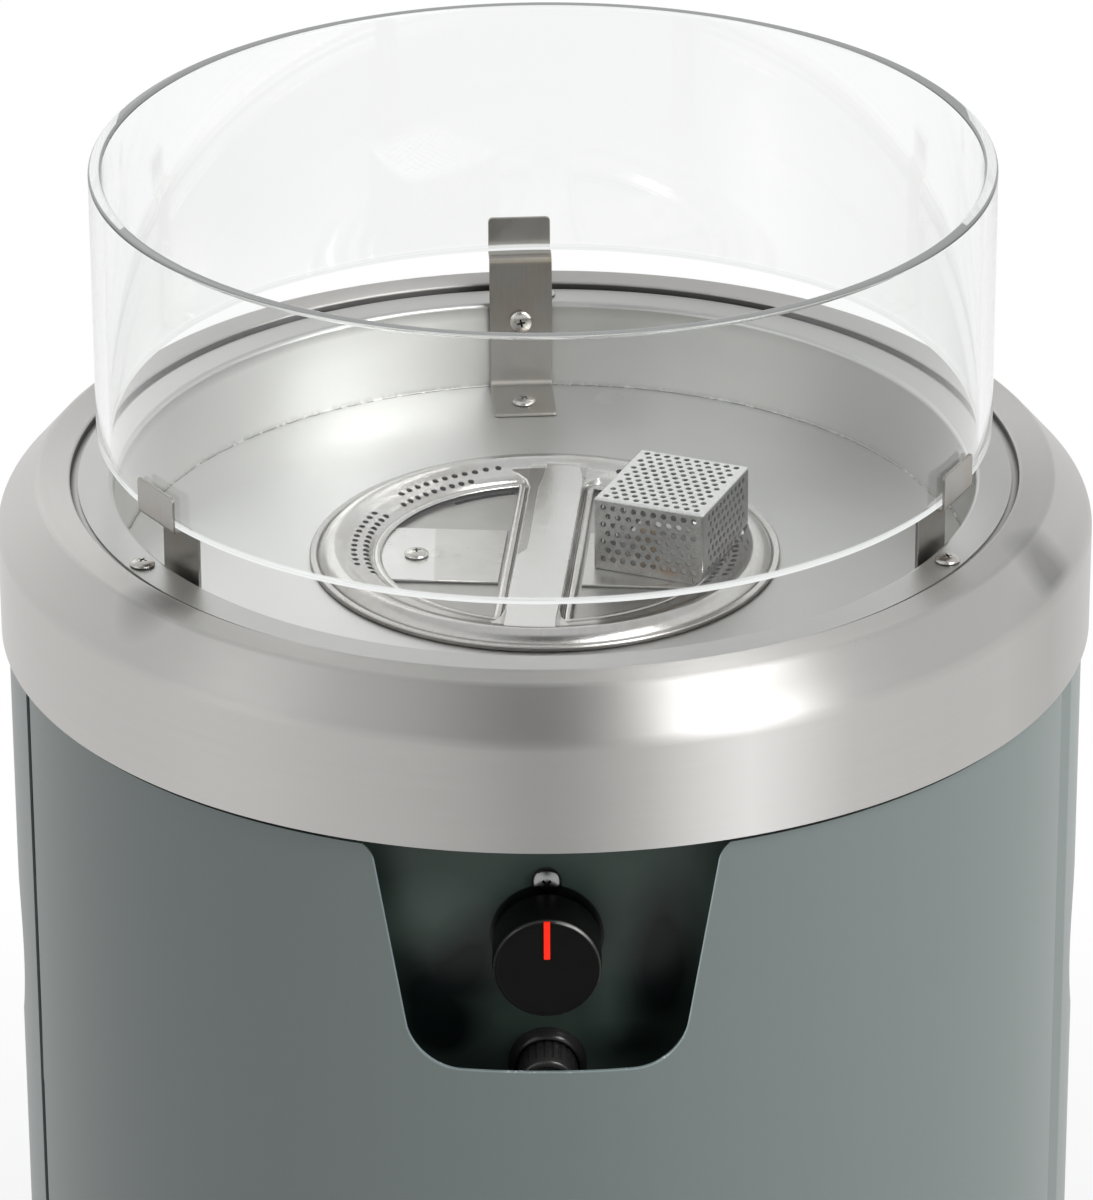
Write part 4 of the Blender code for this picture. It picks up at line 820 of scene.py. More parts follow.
def makeCap():
    path = [(cap["ledge"], cap["ledgeTop"]), (cap["well"], cap["ledgeTop"]), (cap["well"], capTop),
            (cap["flat"], capTop), (cap["radius"], cap["chamferLow"]), (cap["radius"], cap["low"])]
    piece = rings("topCap", path, cap["sides"])
    roundOff(piece, cap["well"], capTop, 0.0010, 3)
    roundOff(piece, cap["flat"], capTop, 0.0020, 4)
    roundOff(piece, cap["radius"], cap["chamferLow"], 0.0032, 5)
    sheet(piece, cap["wall"], lambda c: radial(c) + up(c))
    smooth(piece, 50)
    return seat(piece, "column", "stainless", capSteel, "top_cap")


makeCap()


# Burner pan

pan = {"flange": 0.213, "flangeTop": 0.8676, "mouth": 0.1965, "floor": 0.1945, "hole": 0.1005,
       "wall": 0.0010, "sides": 256, "dimple": (0.0317, 0.1774)}


def makePan():
    path = [(pan["flange"], pan["flangeTop"]), (pan["mouth"], pan["flangeTop"]),
            (pan["floor"], panFloor), (pan["hole"], panFloor)]
    piece = rings("burnerPan", path, pan["sides"])
    roundOff(piece, pan["mouth"], pan["flangeTop"], 0.0025, 5)
    roundOff(piece, pan["floor"], panFloor, 0.0007, 2)
    sheet(piece, pan["wall"], up)
    dome = [(0.0080, panFloor - 0.0003), (0.0070, panFloor + 0.0001), (0.0050, panFloor + 0.0006),
            (0.0026, panFloor + 0.0009), (0.0004, panFloor + 0.0010)]
    piece = joined("burnerPan", [piece, rings("dimple", dome, 32, pan["dimple"], True)])
    smooth(piece, 50)
    return seat(piece, "column", "stainless", panSteel, "burner_pan")


makePan()
print("cap and pan made")


# Glass ring

glass = {"outer": 0.2037, "wall": 0.006, "edge": 0.0015, "sides": 360}


def makeGlassRing():
    low, high = glassEdge, glassTop
    inner = glass["outer"] - glass["wall"]
    path = [(inner, low), (glass["outer"], low), (glass["outer"], high), (inner, high)]
    piece = closedRing(rings("glassRing", path, glass["sides"]))
    for radius in (inner, glass["outer"]):
        for height in (low, high):
            roundOff(piece, radius, height, glass["edge"], 4)
    tidy(piece)
    smooth(piece, 60)
    return seat(piece, "glass", "clear_glass", clearGlass, "glass_ring")


makeGlassRing()


# Pan head screws: one is modelled, then copied to each seat

screw = {"head": 0.0056, "rise": 0.0025, "slot": 0.0014, "reach": 0.0066, "depth": 0.0016,
         "steps": 8, "gap": 0.0003, "large": (1.2, 1.2, 1.3), "flangeR": 0.2062,
         "blank": (-0.059, 0.8255), "panel": (-0.200, 0.7591)}


def makeScrewMaster():
    path = [(screw["head"] * 0.94, 0), (screw["head"], screw["rise"] * 0.12)]
    for i in range(screw["steps"]):
        angle = math.pi / 2 * (i + 1) / (screw["steps"] + 1)
        path.append((screw["head"] * math.cos(angle) + 0.0001,
                     screw["rise"] * (0.12 + 0.88 * math.sin(angle))))
    piece = rings("screwMaster", path, 40, solid=True)
    for turn in (0, math.pi / 2):
        size = (screw["slot"], screw["reach"], 2 * screw["depth"])
        tool = block("slot", size, (0, 0, screw["rise"] + 0.0003), turn)
        edit(tool, "FACE")
        pick(tool, lambda co: co.z < screw["rise"] - 0.001, "FACE")
        bpy.ops.transform.resize(value=(0.45, 0.45, 1), center_override=(0, 0, 0))
        done()
        carve(piece, tool)
    tidy(piece)
    # painted shade: the faces of the cross recess take the second, near-black finish
    edge = screw["slot"] / 2 + 0.00003
    for face in piece.data.polygons:
        x, y, z = face.center
        inSlot = min(abs(x), abs(y)) < edge and max(abs(x), abs(y)) < screw["reach"] / 2 + 0.0001
        if inSlot and (z < screw["rise"] * 0.62 or abs(face.normal.z) < 0.5):
            face.material_index = 1
    return smooth(piece, 35)


clipAngles = {"back": 93.3, "left": 213.3, "right": 333.3}
clip = {"leg": 0.1929, "foot": 0.037, "wall": 0.0015, "width": 0.030, "shelf": 0.8922,
        "tab": 0.2055, "top": 0.9095, "corner": 0.0020, "fold": 0.0022, "footFold": 0.0040,
        "legScrewZ": 0.860, "footScrewR": 0.1689}


def screwPlaces():
    gap, seats, upright = screw["gap"], [], Vector((0, 0, 1))
    for i, degrees in enumerate((90, 210, 330)):
        point = around(screw["flangeR"], degrees, pan["flangeTop"] + gap)
        seats.append((f"pan_screw_{i + 1}", point, upright, screwSteel, 25 + 40 * i))
    for name, degrees in clipAngles.items():
        leg = around(clip["leg"] - clip["wall"] - gap, degrees, clip["legScrewZ"])
        foot = around(clip["footScrewR"], degrees, panFloor + 2 * gap + clip["wall"])
        seats.append((f"clip_{name}_leg_screw", leg, -around(1, degrees), screwSteel, 12))
        seats.append((f"clip_{name}_foot_screw", foot, upright, screwSteel, 50))
    x, z = screw["blank"]
    seats.append(("blank_plate_screw", Vector((x, 0, z + gap)), upright, screwSteel, 5))
    y, z = screw["panel"]
    seats.append(("panel_screw", Vector((0, y - gap, z)), Vector((0, -1, 0)), darkScrew, 45))
    return seats


def makeScrews():
    master = makeScrewMaster()
    for node, point, direction, material, spin in screwPlaces():
        turn = direction.to_track_quat("Z", "Y").to_matrix().to_4x4()
        large = material == darkScrew
        size = Matrix.Diagonal((*screw["large"], 1) if large else (1, 1, 1, 1))
        matrix = Matrix.Translation(point) @ turn @ turned(spin) @ size
        piece = copied(master, node.replace("_", "") + "Head", matrix)
        seat(piece, "column", "zinc" if large else "stainless", (material, paintedRecessShade), node)
    drop(master)


makeScrews()


# Glass clips: a strap is folded at angle zero and turned to its place

def makeClips():
    half = clip["width"] / 2
    foot = clip["leg"] - clip["foot"]
    low = panFloor + 0.0003
    path = [(foot, low), (clip["leg"], low), (clip["leg"], clip["shelf"]),
            (clip["tab"], clip["shelf"]), (clip["tab"], clip["top"])]
    strap = add("plane", "strap", size=1)
    edit(strap, "VERT")
    pick(strap, lambda co: co.x > 0, "VERT")
    bpy.ops.mesh.delete(type="VERT")
    done()
    for vertex, side in zip(strap.data.vertices, (-half, half)):
        vertex.co = (foot, side, low)
    editAll(strap)
    for here, there in zip(path, path[1:]):
        pull(there[0] - here[0], 0, there[1] - here[1])
    for corner in path[1:-1]:
        pick(strap, lambda co: abs(co.x - corner[0]) < 0.0001 and abs(co.z - corner[1]) < 0.0001)
        bpy.ops.mesh.bevel(offset=clip["footFold" if corner[1] == low else "fold"], segments=5)
    pick(strap, lambda co: co.z > clip["top"] - 0.0001, "VERT")
    cutCorners(clip["corner"], 6)
    pick(strap, lambda co: co.x < foot + 0.0001, "VERT")
    cutCorners(0.0015, 3)
    done()
    outward(strap, lambda c: Vector((1, 0, -1)))
    thicken(strap, clip["wall"])
    soften(strap, 0.0002, 1, 60)
    smooth(strap, 40)
    for name, degrees in clipAngles.items():
        piece = copied(strap, f"{name}GlassClip", turned(degrees))
        seat(piece, "column", "stainless", strapSteel, f"glass_clip_{name}")
    drop(strap)


makeClips()
print("glass, clips and screws made")


# Burner: a pressed disc with a raised strip, two D openings with rolled lips, and its ports

burner = {"turn": -4.5, "radius": 0.108, "sides": 224, "wall": 0.0008, "bar": 0.0129,
          "barTop": 0.0036, "stripTop": 0.0043, "crest": 0.0965, "rest": 0.0002, "lipOuter": 0.0786,
          "lipSide": 0.0140, "corner": 0.0095, "port": 0.0015}
burnerTurn = turned(burner["turn"])


def openingBlock(name, side, grow, low, high):
    # the D outline: a half disc cut along the bar, its two corners rounded
    piece = add("circle", name, vertices=160, radius=burner["lipOuter"] + grow, fill_type="NGON",
                location=(0, 0, low))
    editAll(piece, "FACE")
    bpy.ops.mesh.bisect(plane_co=(side * (burner["lipSide"] - grow), 0, 0), plane_no=(side, 0, 0),
                        clear_inner=True, use_fill=False)
    pick(piece, lambda co: abs(co.x) < burner["lipSide"] - grow + 0.00005, "VERT")
    cutCorners(burner["corner"], 8)
    bpy.ops.mesh.select_all(action="SELECT")
    bpy.ops.mesh.remove_doubles(threshold=0.0008)
    if high > low:
        bpy.ops.mesh.select_all(action="SELECT")
        pull(0, 0, high - low)
    done()
    return piece


def makeLip(side):
    # rolled lip and wall of one opening, inset step by step from its outer line
    base = panFloor + burner["rest"]
    piece = openingBlock("lip", side, 0.0, base, base)
    editAll(piece, "FACE")
    steps = [(0.0003, 0.0005), (0.0005, 0.0003), (0.0010, 0.0001), (0.0009, -0.0001),
             (0.0005, -0.0003), (0.0003, -0.0003), (0.0001, -0.0002)]
    for inset, lift in steps:
        bpy.ops.mesh.inset(thickness=inset, depth=0)
        bpy.ops.transform.translate(value=(0, 0, lift))
    bpy.ops.mesh.delete(type="ONLY_FACE")
    done()
    outward(piece, up)
    return modify(piece, "SOLIDIFY", thickness=0.0007, offset=-1)


def portPlaces():
    # (radius, angle) of the port centres in the burner's frame; the right half mirrors the left
    places = [(0.0890, 143.3 - 3.4 * i) for i in range(9)] + [(0.0896, 112.5), (0.0896, 108.6)]
    places += [(0.0822, 147.8 - 3.55 * i) for i in range(9)]
    places += [(0.0876, 159.1 + 3.4 * i) for i in range(12)]
    places += [(0.0822, 158.4 + 3.4 * i) for i in range(14)]
    return places + [(radius, 180 - angle) for radius, angle in places]


def makePorts():
    master = pin("port", burner["port"], 0.012, (0, 0, 0), sides=20)
    copies = [copied(master, "portCopy", Matrix.Translation(around(r, a, panFloor + 0.004)))
              for r, a in portPlaces()]
    drop(master)
    return joined("ports", copies)


def makeBar(name, half, top, edges, soft, spread=0):
    # a flat bar over the middle; edges lists (y, left, right) where its sides step in or out,
    # and its ends slope down to the ring over the given spread
    low, high = panFloor - 0.0004, panFloor + top
    piece = block(name, (2 * half, 2 * burner["crest"], high - low), (0, 0, (low + high) / 2))
    edit(piece, "FACE")
    for y, left, right in edges[1:-1]:
        bpy.ops.mesh.select_all(action="SELECT")
        bpy.ops.mesh.bisect(plane_co=(0, y, 0), plane_no=(0, 1, 0))
    middle = (low + high) / 2
    for y, left, right in edges:
        ramp = spread if abs(y) > 0.078 else 0
        for side, place in ((-1, left), (1, right)):
            for lower in (False, True):
                pick(piece, lambda co: abs(co.y - y) < 0.0002 and (co.z < middle) == lower
                     and abs(co.x - side * half) < 0.0002, "VERT")
                move = place - side * half + side * ramp * lower
                bpy.ops.transform.translate(value=(move, 0, 0))
    done()
    return soften(piece, soft, 3, 50)


def makeBars():
    reach, half = burner["crest"], burner["bar"]
    flare = [(-reach, -0.0215, 0.0215), (-0.086, -0.0180, 0.0180), (-0.078, -0.0142, 0.0142),
             (-0.070, -half, half), (0.066, -half, half), (0.074, -0.0150, 0.0150),
             (0.081, -0.0195, 0.0195), (reach, -0.0290, 0.0290)]
    plate = [(-reach, -0.0118, 0.0120), (-0.080, -0.0115, 0.0112), (-0.048, -0.0119, 0.0119),
             (-0.0135, -0.0121, 0.0121), (-0.0112, -0.0117, 0.0121), (-0.0045, -0.0080, 0.0121),
             (0.0098, -0.0076, 0.0121), (0.040, -0.0079, 0.0123), (0.064, -0.0080, 0.0126),
             (0.076, -0.0066, 0.0120), (reach, -0.0055, 0.0090)]
    return (makeBar("bar", half, burner["barTop"], flare, 0.0011, 0.009),
            makeBar("strip", 0.0121, burner["stripTop"], plate, 0.0003))


def makeBurnerTop():
    f = panFloor
    path = [(burner["radius"], f + 0.0004), (burner["radius"], f + 0.0018), (0.1074, f + 0.0024),
            (0.1051, f + 0.0024), (0.1044, f + 0.0016), (0.1037, f + 0.0022), (0.1018, f + 0.0044),
            (0.0995, f + 0.0058), (0.0970, f + 0.0064), (0.0948, f + 0.0062), (0.0925, f + 0.0053),
            (0.0905, f + 0.0043), (0.0884, f + 0.0037), (0.0850, f + 0.0033), (0.0822, f + 0.0029),
            (0.0806, f + 0.0021), (0.0798, f + 0.0010), (0.0789, f + burner["rest"]),
            (0.060, f + burner["rest"]), (0.0005, f + burner["rest"])]
    piece = rings("burnerTop", path, burner["sides"])
    edit(piece)
    pick(piece, lambda co: math.hypot(co.x, co.y) < 0.001)
    bpy.ops.mesh.edge_face_add()
    done()
    sheet(piece, burner["wall"], up)
    for bar in makeBars():
        carve(piece, bar, "UNION")
    for side in (-1, 1):
        carve(piece, openingBlock("cut", side, -0.0013, f - 0.004, f + 0.012))
    carve(piece, makePorts())
    piece = joined("burnerTop", [piece, makeLip(-1), makeLip(1)])
    piece.data.transform(burnerTurn)
    smooth(piece, 40)
    return seat(piece, "column", "stainless", burnerSteel, "burner_top")


makeBurnerTop()
print("burner top made")


# Burner underside with its web, air slots and inlet

base = {"flange": 0.107, "channelOut": 0.0992, "channelIn": 0.080, "depth": 0.016, "web": 0.824,
        "inlet": 0.0115, "wall": 0.0008, "slotR": 0.0738, "slot": 0.0044}


def makeSlots(piece):
    # curved air slots: a thin bent block on each side of the bar, front and back
    for quarter in (90, -90):
        for side in (-1, 1):
            near = quarter + side * 15.5
            plan = [around(base["slotR"], near + side * 24 * i / 10).xy for i in range(11)]
            tool = folded("slot", plan, base["web"] - 0.004, base["web"] + 0.004)
            outward(tool, radial)
            modify(tool, "SOLIDIFY", thickness=base["slot"], offset=0)
            carve(piece, tidy(tool))


def makeBurnerBase():
    low = panFloor - base["depth"]
    f = panFloor + 0.0011
    path = [(base["flange"], f), (base["channelOut"], f), (base["channelOut"], low),
            (base["channelIn"], low), (base["channelIn"], base["web"]), (base["inlet"], base["web"])]
    piece = rings("burnerBase", path, 192)
    sheet(piece, base["wall"], up)
    makeSlots(piece)
    for side in (-1, 1):
        window = (0.0235, 0.037, 0.01)
        carve(piece, block("window", window, (side * 0.04325, 0, base["web"]), bevel=0.003))
    piece.data.transform(burnerTurn)
    smooth(piece, 40)
    return seat(piece, "column", "stainless", chamberSteel, "burner_base")


makeBurnerBase()


# Plates in the two openings

plate = {"size": (0.0585, 0.0565, 0.0010), "middle": 0.04825, "front": -0.0028, "height": 0.8249,
         "reach": 0.0768}


def makePlates():
    # a strip of sheet, its outer end cut round to sit inside the lip
    sides = (("blankPlate", -1, "blank_plate"), ("pilotPlate", 1, "pilot_plate"))
    for name, side, node in sides:
        at = (side * plate["middle"], plate["front"], plate["height"])
        piece = block(name, plate["size"], at)
        carve(piece, pin("round", plate["reach"], 0.02, (0, 0, plate["height"]), sides=256),
              "INTERSECT")
        soften(piece, 0.0002, 1)
        piece.data.transform(burnerTurn)
        smooth(piece, 40)
        seat(piece, "column", "stainless", plateSteel, node)


makePlates()


# Guard cage: perforated sheet folded into a box, notched over the burner ring

cage = {**cageBox, "foot": 0.8258, "hole": 0.00150, "pitch": 0.0049, "row": 0.00424}


def holeSheet(columns, rows):
    # staggered pins for one face, drawn flat about the origin and pointing up
    tools = []
    master = pin("hole", cage["hole"], 0.004, (0, 0, 0), sides=10)
    for row in range(rows):
        count = columns - row % 2
        for i in range(count):
            x = (i - (count - 1) / 2) * cage["pitch"]
            y = (row - (rows - 1) / 2) * cage["row"]
            tools.append(copied(master, "holeCopy", Matrix.Translation((x, y, 0))))
    drop(master)
    return joined("holes", tools)


def makeCage():
    wide, deep = cage["size"]
    tall = cage["top"] - cage["foot"]
    piece = block("guardCage", (wide, deep, tall), (0, 0, tall / 2))
    edit(piece, "FACE")
    pick(piece, lambda co: co.z < 0.0001, "FACE")
    bpy.ops.mesh.delete(type="FACE")
    pick(piece, lambda co: (abs(abs(co.x) - wide / 2) < 0.0001
                            and abs(abs(co.y) - deep / 2) < 0.0001))
    bpy.ops.mesh.bevel(offset=0.0014, segments=4)
    done()
    outward(piece, lambda c: c - Vector((0, 0, tall / 3)))
    thicken(piece, cage["wall"])
    place = (Matrix.Translation((*cage["at"], cage["foot"]))
             @ turned(cage["turn"]))
    # the burner ring's shape, grown a little, clears the lower right walls
    top = panFloor + 0.0069
    ring = [(0.0745, 0.80), (0.0745, panFloor + 0.0026), (0.0800, panFloor + 0.0026),
            (0.0900, panFloor + 0.0050), (0.0945, top), (0.1090, top), (0.1090, 0.80)]
    tool = closedRing(rings("ringTool", ring, 128))
    tool.data.transform(place.inverted())
    tool.data.update()
    carve(piece, tool)
    wall = holeSheet(10, 7)
    roof = holeSheet(10, 13)
    lift = tall / 2 + 0.0006
    for degrees, reach in ((0, wide / 2), (90, deep / 2), (180, wide / 2), (270, deep / 2)):
        upright = turned(degrees) @ Matrix.Translation((reach, 0, lift))
        tip = upright @ Matrix.Rotation(math.pi / 2, 4, "Y") @ Matrix.Rotation(math.pi / 2, 4, "Z")
        carve(piece, copied(wall, "wallHoles", tip))
    carve(piece, copied(roof, "roofHoles", Matrix.Translation((0, 0, tall))))
    for tool in (wall, roof):
        drop(tool)
    piece.data.transform(place)
    smooth(piece, 30)
    return seat(piece, "column", "stainless", cageSteel, "guard_cage")


makeCage()
print("burner and cage made")


# Pilot burner, electrode and thermocouple

def standing(name, at, path, slot, material, node):
    # a turned piece on the pilot plate, its heights given from the plate's top
    piece = rings(name, [(r, z + cage["foot"]) for r, z in path], 32, at, True)
    soften(piece, 0.0003, 2, 40)
    smooth(piece, 40)
    return seat(piece, "column", slot, material, node)


def makePilot():
    standing("pilotBurner", (0.047, -0.009),
             [(0.0016, -0.018), (0.0016, 0), (0.0055, 0), (0.0055, 0.0075), (0.0044, 0.0095),
              (0.0044, 0.015), (0.0036, 0.017)], "brass", brass, "pilot_burner")
    standing("sparkElectrode", (0.036, -0.008),
             [(0.0016, -0.018), (0.0016, 0), (0.0030, 0), (0.0030, 0.0070), (0.0021, 0.0150),
              (0.0009, 0.0168), (0.0009, 0.0236), (0.0006, 0.024)], "ceramic", ceramic,
             "spark_electrode")
    standing("thermocouple", (0.047, 0.009),
             [(0.0016, -0.018), (0.0016, 0), (0.0022, 0), (0.0022, 0.0094), (0.0015, 0.0105),
              (0.0013, 0.0200), (0.0006, 0.021)], "zinc", hotSteel, "thermocouple")


makePilot()


# Front door: a curved sheet with the cut-out, hung on two ears at its left edge

door = {"radius": 0.2468, "wall": 0.0012, "half": 70.6, "low": 0.048, "top": 0.795,
        "cutTop": 0.0757, "cutFloor": 0.058, "cutDepth": 0.1055, "corner": 0.0205, "flare": 0.004,
        "hinge": -159.8, "hingeR": 0.2400, "ear": (0.0122, 0.0100, 0.0025), "bore": 0.0028}


def makeCutOut():
    # a flat trapezoid with a flared top edge, its corners rounded, pushed through the door
    top, floor = door["top"] - door["flare"], door["top"] - door["cutDepth"]
    slope = (door["cutTop"] - door["cutFloor"]) / door["cutDepth"]
    half = door["cutTop"] - slope * door["flare"]
    piece = add("plane", "cutOut", size=1)
    corners = [(-door["cutFloor"], floor), (door["cutFloor"], floor), (-half, top), (half, top)]
    for vertex, (x, z) in zip(piece.data.vertices, corners):
        vertex.co = (x, -0.27, z)
    edit(piece)
    pick(piece, lambda co: co.z > top - 0.0001)
    pull(0, 0, door["flare"] + 0.0001)
    bpy.ops.transform.resize(value=(1.06, 1, 1), center_override=(0, 0, 0))
    pull(0, 0, 0.004)
    pick(piece, lambda co: co.z < floor + 0.0001, "VERT")
    cutCorners(door["corner"], 14)
    pick(piece, lambda co: abs(co.z - top) < 0.0001, "VERT")
    cutCorners(door["flare"] * 0.9, 6)
    bpy.ops.mesh.select_all(action="SELECT")
    pull(0, 0.075, 0)
    done()
    return tidy(piece)


def makeDoor():
    first, last = -90 - door["half"], -90 + door["half"]
    plan = arcPlan(door["radius"], first, last, 188)
    piece = folded("frontDoor", plan, door["low"], door["top"])
    sheet(piece, door["wall"], radial)
    carve(piece, makeCutOut())
    ears, half = [], door["ear"][2] / 2
    for height in (door["low"] + half, door["top"] - half):
        place = around(door["hingeR"] - 0.0001, door["hinge"], height)
        ear = block("ear", door["ear"], place, math.radians(door["hinge"]), 0.0008)
        bore = around(door["hingeR"], door["hinge"], height)
        ears.append(carve(ear, pin("bore", door["bore"], 0.02, bore)))
    piece = joined("frontDoor", [piece] + ears)
    smooth(piece, 35)
    return seat(piece, "door", "body_paint", bodyPaint, "front_door")


makeDoor()


# Rear shell: main arc, door stop folded in at the right, hand holes and vents

shell = {"low": 0.022, "top": 0.8503, "right": -15.4, "left": 198.1, "stopStart": -21.1,
         "stopEnd": -17.4, "stopRadius": 0.2444, "handZ": 0.639, "handR": 0.043,
         "vents": (54, 72, 108, 126), "vent": (0.03, 0.040, 0.007), "ventLow": 0.075,
         "ventRow": 0.018, "notch": (0.03, 0.028, 0.044), "notchAt": -18.3}


def makeShell():
    plan = arcPlan(shell["stopRadius"], shell["stopStart"], shell["stopEnd"], 5)
    plan += arcPlan(door["radius"], shell["right"], shell["left"], 284)
    piece = folded("rearShell", plan, shell["low"], shell["top"])
    sheet(piece, door["wall"], radial)
    for side in (-1, 1):
        place = (side * door["radius"], 0, shell["handZ"])
        carve(piece, pin("handHole", shell["handR"], 0.06, place, (0, math.pi / 2, 0), 96))
    for degrees in shell["vents"]:
        for row in range(2):
            place = around(door["radius"], degrees, shell["ventLow"] + shell["ventRow"] * row)
            carve(piece, block("vent", shell["vent"], place, math.radians(degrees), 0.0033, 5))
    place = around(door["radius"], shell["notchAt"], shell["low"])
    carve(piece, block("stopFoot", shell["notch"], place, math.radians(shell["notchAt"])))
    smooth(piece, 35)
    return seat(piece, "column", "body_paint", bodyPaint, "rear_shell")


makeShell()


# Control panel behind the cut-out

panel = {"front": 0.200, "wall": 0.0015, "half": 0.100, "wing": (0.212, 0.070), "low": 0.5803,
         "top": 0.796, "flange": 0.2434, "notch": 0.688,
         "bores": ((0.732, 0.0052), (0.669, 0.0057))}


def makePanel():
    back = panel["front"] - panel["wall"]
    half = [(panel["half"], -back), (panel["wing"][0], -panel["wing"][1])]
    half += [tuple(p) for p in arcPlan(panel["flange"], -90 + 77.6, -90 + 85.6, 6)]
    plan = [(-x, y) for x, y in half[::-1]] + half
    piece = folded("controlPanel", plan, panel["low"], panel["top"])
    edit(piece)
    pick(piece, lambda co: abs(abs(co.x) - panel["half"]) < 0.001)
    bpy.ops.mesh.bevel(offset=0.004, segments=5)
    done()
    outward(piece, lambda c: Vector((0, -1, 0)))
    thicken(piece, panel["wall"], 1)
    for side in (-1, 1):
        tool = block("notch", (0.10, 0.14, 0.12), (side * 0.265, -0.04, panel["notch"] - 0.06))
        carve(piece, tool)
    for height, radius in panel["bores"]:
        carve(piece, pin("bore", radius, 0.03, (0, -panel["front"], height), (math.pi / 2, 0, 0)))
    smooth(piece, 35)
    return seat(piece, "column", "panel_paint", panelPaint, "control_panel")


makePanel()
print("body made")


# Control knob and its pointer, drawn standing and laid towards the front

knob = {"back": 0.2065, "height": 0.732, "radius": 0.0240, "face": 0.0236, "length": 0.0252,
        "bevel": 0.0011, "slot": (0.0032, 0.0190, 0.0018), "mark": (0.0028, 0.0182, 0.0013)}


def facingFront(y, z):
    return Matrix.Translation((0, y, z)) @ Matrix.Rotation(math.pi / 2, 4, "X")


def makeKnob():
    length, face = knob["length"], knob["face"]
    radius, edge = knob["radius"], knob["bevel"]
    path = [(radius - 0.001, 0), (radius, 0.0008), (radius - 0.0001, 0.004),
            (face + 0.0004, length * 0.72), (face + 0.0001, length - edge * 1.5),
            (face - 0.0003, length - edge * 0.6), (face - edge, length),
            (face - edge * 1.7, length), (face - edge * 2.0, length - 0.0002),
            (0.0004, length - 0.0002)]
    piece = rings("controlKnob", path, 96, solid=True)
    carve(piece, block("slot", knob["slot"], (0, 0.0146, length)))
    carve(piece, pin("bore", 0.0045, 0.040, (0, 0, 0)))
    piece.data.transform(facingFront(-knob["back"], knob["height"]))
    smooth(tidy(piece), 30)
    seat(piece, "knob", "black_plastic", blackPlastic, "control_knob")
    mark = block("knobPointer", knob["mark"], (0, 0.0142, length - 0.0001), 0, 0.0003)
    mark.data.transform(facingFront(-knob["back"], knob["height"]))
    smooth(mark, 40)
    seat(mark, "knob", "red_plastic", redPlastic, "knob_pointer")


makeKnob()


# Igniter: domed collar and fluted button

igniter = {"front": 0.2003, "height": 0.669, "collar": 0.0175, "depth": 0.006, "button": 0.0135,
           "length": 0.0240, "flutes": 22}


def makeIgniter():
    bore, r, d = igniter["button"] + 0.0006, igniter["collar"], igniter["depth"]
    path = [(bore, 0), (r, 0), (r, d * 0.25), (r * 0.985, d * 0.5), (r * 0.95, d * 0.75),
            (r * 0.90, d * 0.93), (r * 0.86, d), (bore + 0.0004, d), (bore, d * 0.92)]
    collar = closedRing(rings("igniterCollar", path, 80))
    collar.data.transform(facingFront(-igniter["front"], igniter["height"]))
    smooth(collar, 50)
    seat(collar, "column", "black_plastic", glossPlastic, "igniter_collar")
    b, tall = igniter["button"], igniter["length"]
    path = [(0.0045, -0.0098), (0.0045, 0.0046), (b - 0.0005, 0.0046), (b, 0.0052),
            (b, tall - 0.0022), (b * 0.97, tall - 0.0010), (b * 0.90, tall - 0.0002),
            (b * 0.80, tall), (b * 0.76, tall - 0.0004), (0.0004, tall - 0.0009)]
    button = rings("igniterButton", path, 132, solid=True)
    master = pin("flute", 0.00095, tall - 0.0085, (b + 0.0003, 0, 0.0046 + (tall - 0.0085) / 2),
                 sides=12)
    tools = [copied(master, "fluteCopy", turned(360 * i / igniter["flutes"]))
             for i in range(igniter["flutes"])]
    drop(master)
    carve(button, joined("flutes", tools))
    button.data.transform(facingFront(-igniter["front"], igniter["height"]))
    smooth(tidy(button), 35)
    seat(button, "button", "black_plastic", glossPlastic, "igniter_button")


makeIgniter()
print("controls made")


# Base plate with its rim, bottle ring and feet

baseDisc = {"radius": 0.2449, "low": 0.022, "rim": 0.020, "wall": 0.0015, "vent": 0.018,
            "ventR": 0.080}
bottleRing = {"low": 0.0238, "radius": 0.160, "height": 0.018, "wall": 0.0015}


def makeBase():
    low, r = baseDisc["low"], baseDisc["radius"]
    path = [(r, low + baseDisc["rim"]), (r, low), (0.0005, low)]
    piece = rings("basePlate", path, 256)
    edit(piece)
    pick(piece, lambda co: math.hypot(co.x, co.y) < 0.001)
    bpy.ops.mesh.edge_face_add()
    done()
    roundOff(piece, r, low, 0.003, 4)
    outward(piece, lambda c: radial(c) - up(c))
    thicken(piece, baseDisc["wall"])
    for i in range(5):
        place = around(baseDisc["ventR"], 72 * i, low)
        carve(piece, pin("vent", baseDisc["vent"], 0.02, place, sides=64))
    smooth(piece, 40)
    seat(piece, "column", "body_paint", bodyPaint, "base_plate")
    low, r, h, t = (bottleRing[key] for key in ("low", "radius", "height", "wall"))
    path = [(r, low), (r + 4 * t, low), (r + 4 * t, low + t), (r + t, low + t), (r + t, low + h),
            (r, low + h)]
    ring = closedRing(rings("bottleRing", path, 192))
    soften(ring, 0.0003, 2)
    smooth(ring, 40)
    seat(ring, "column", "zinc", zincSteel, "bottle_ring")


def makeFeet():
    path = [(0.019, 0), (0.020, 0.0008), (0.020, 0.010), (0.0192, 0.012), (0.0140, 0.0205),
            (0.0130, 0.0217), (0.0042, 0.0217), (0.0040, 0.0335)]
    master = rings("footMaster", path, 48, solid=True)
    smooth(tidy(master), 40)
    for i, degrees in enumerate((45, 135, 225, 315)):
        piece = copied(master, f"foot{i + 1}", Matrix.Translation(around(0.195, degrees)))
        seat(piece, "column", "rubber", rubber, f"foot_{i + 1}")
    drop(master)


makeBase()
makeFeet()
print("base made")


# The other solids keep their own shape and take their finish

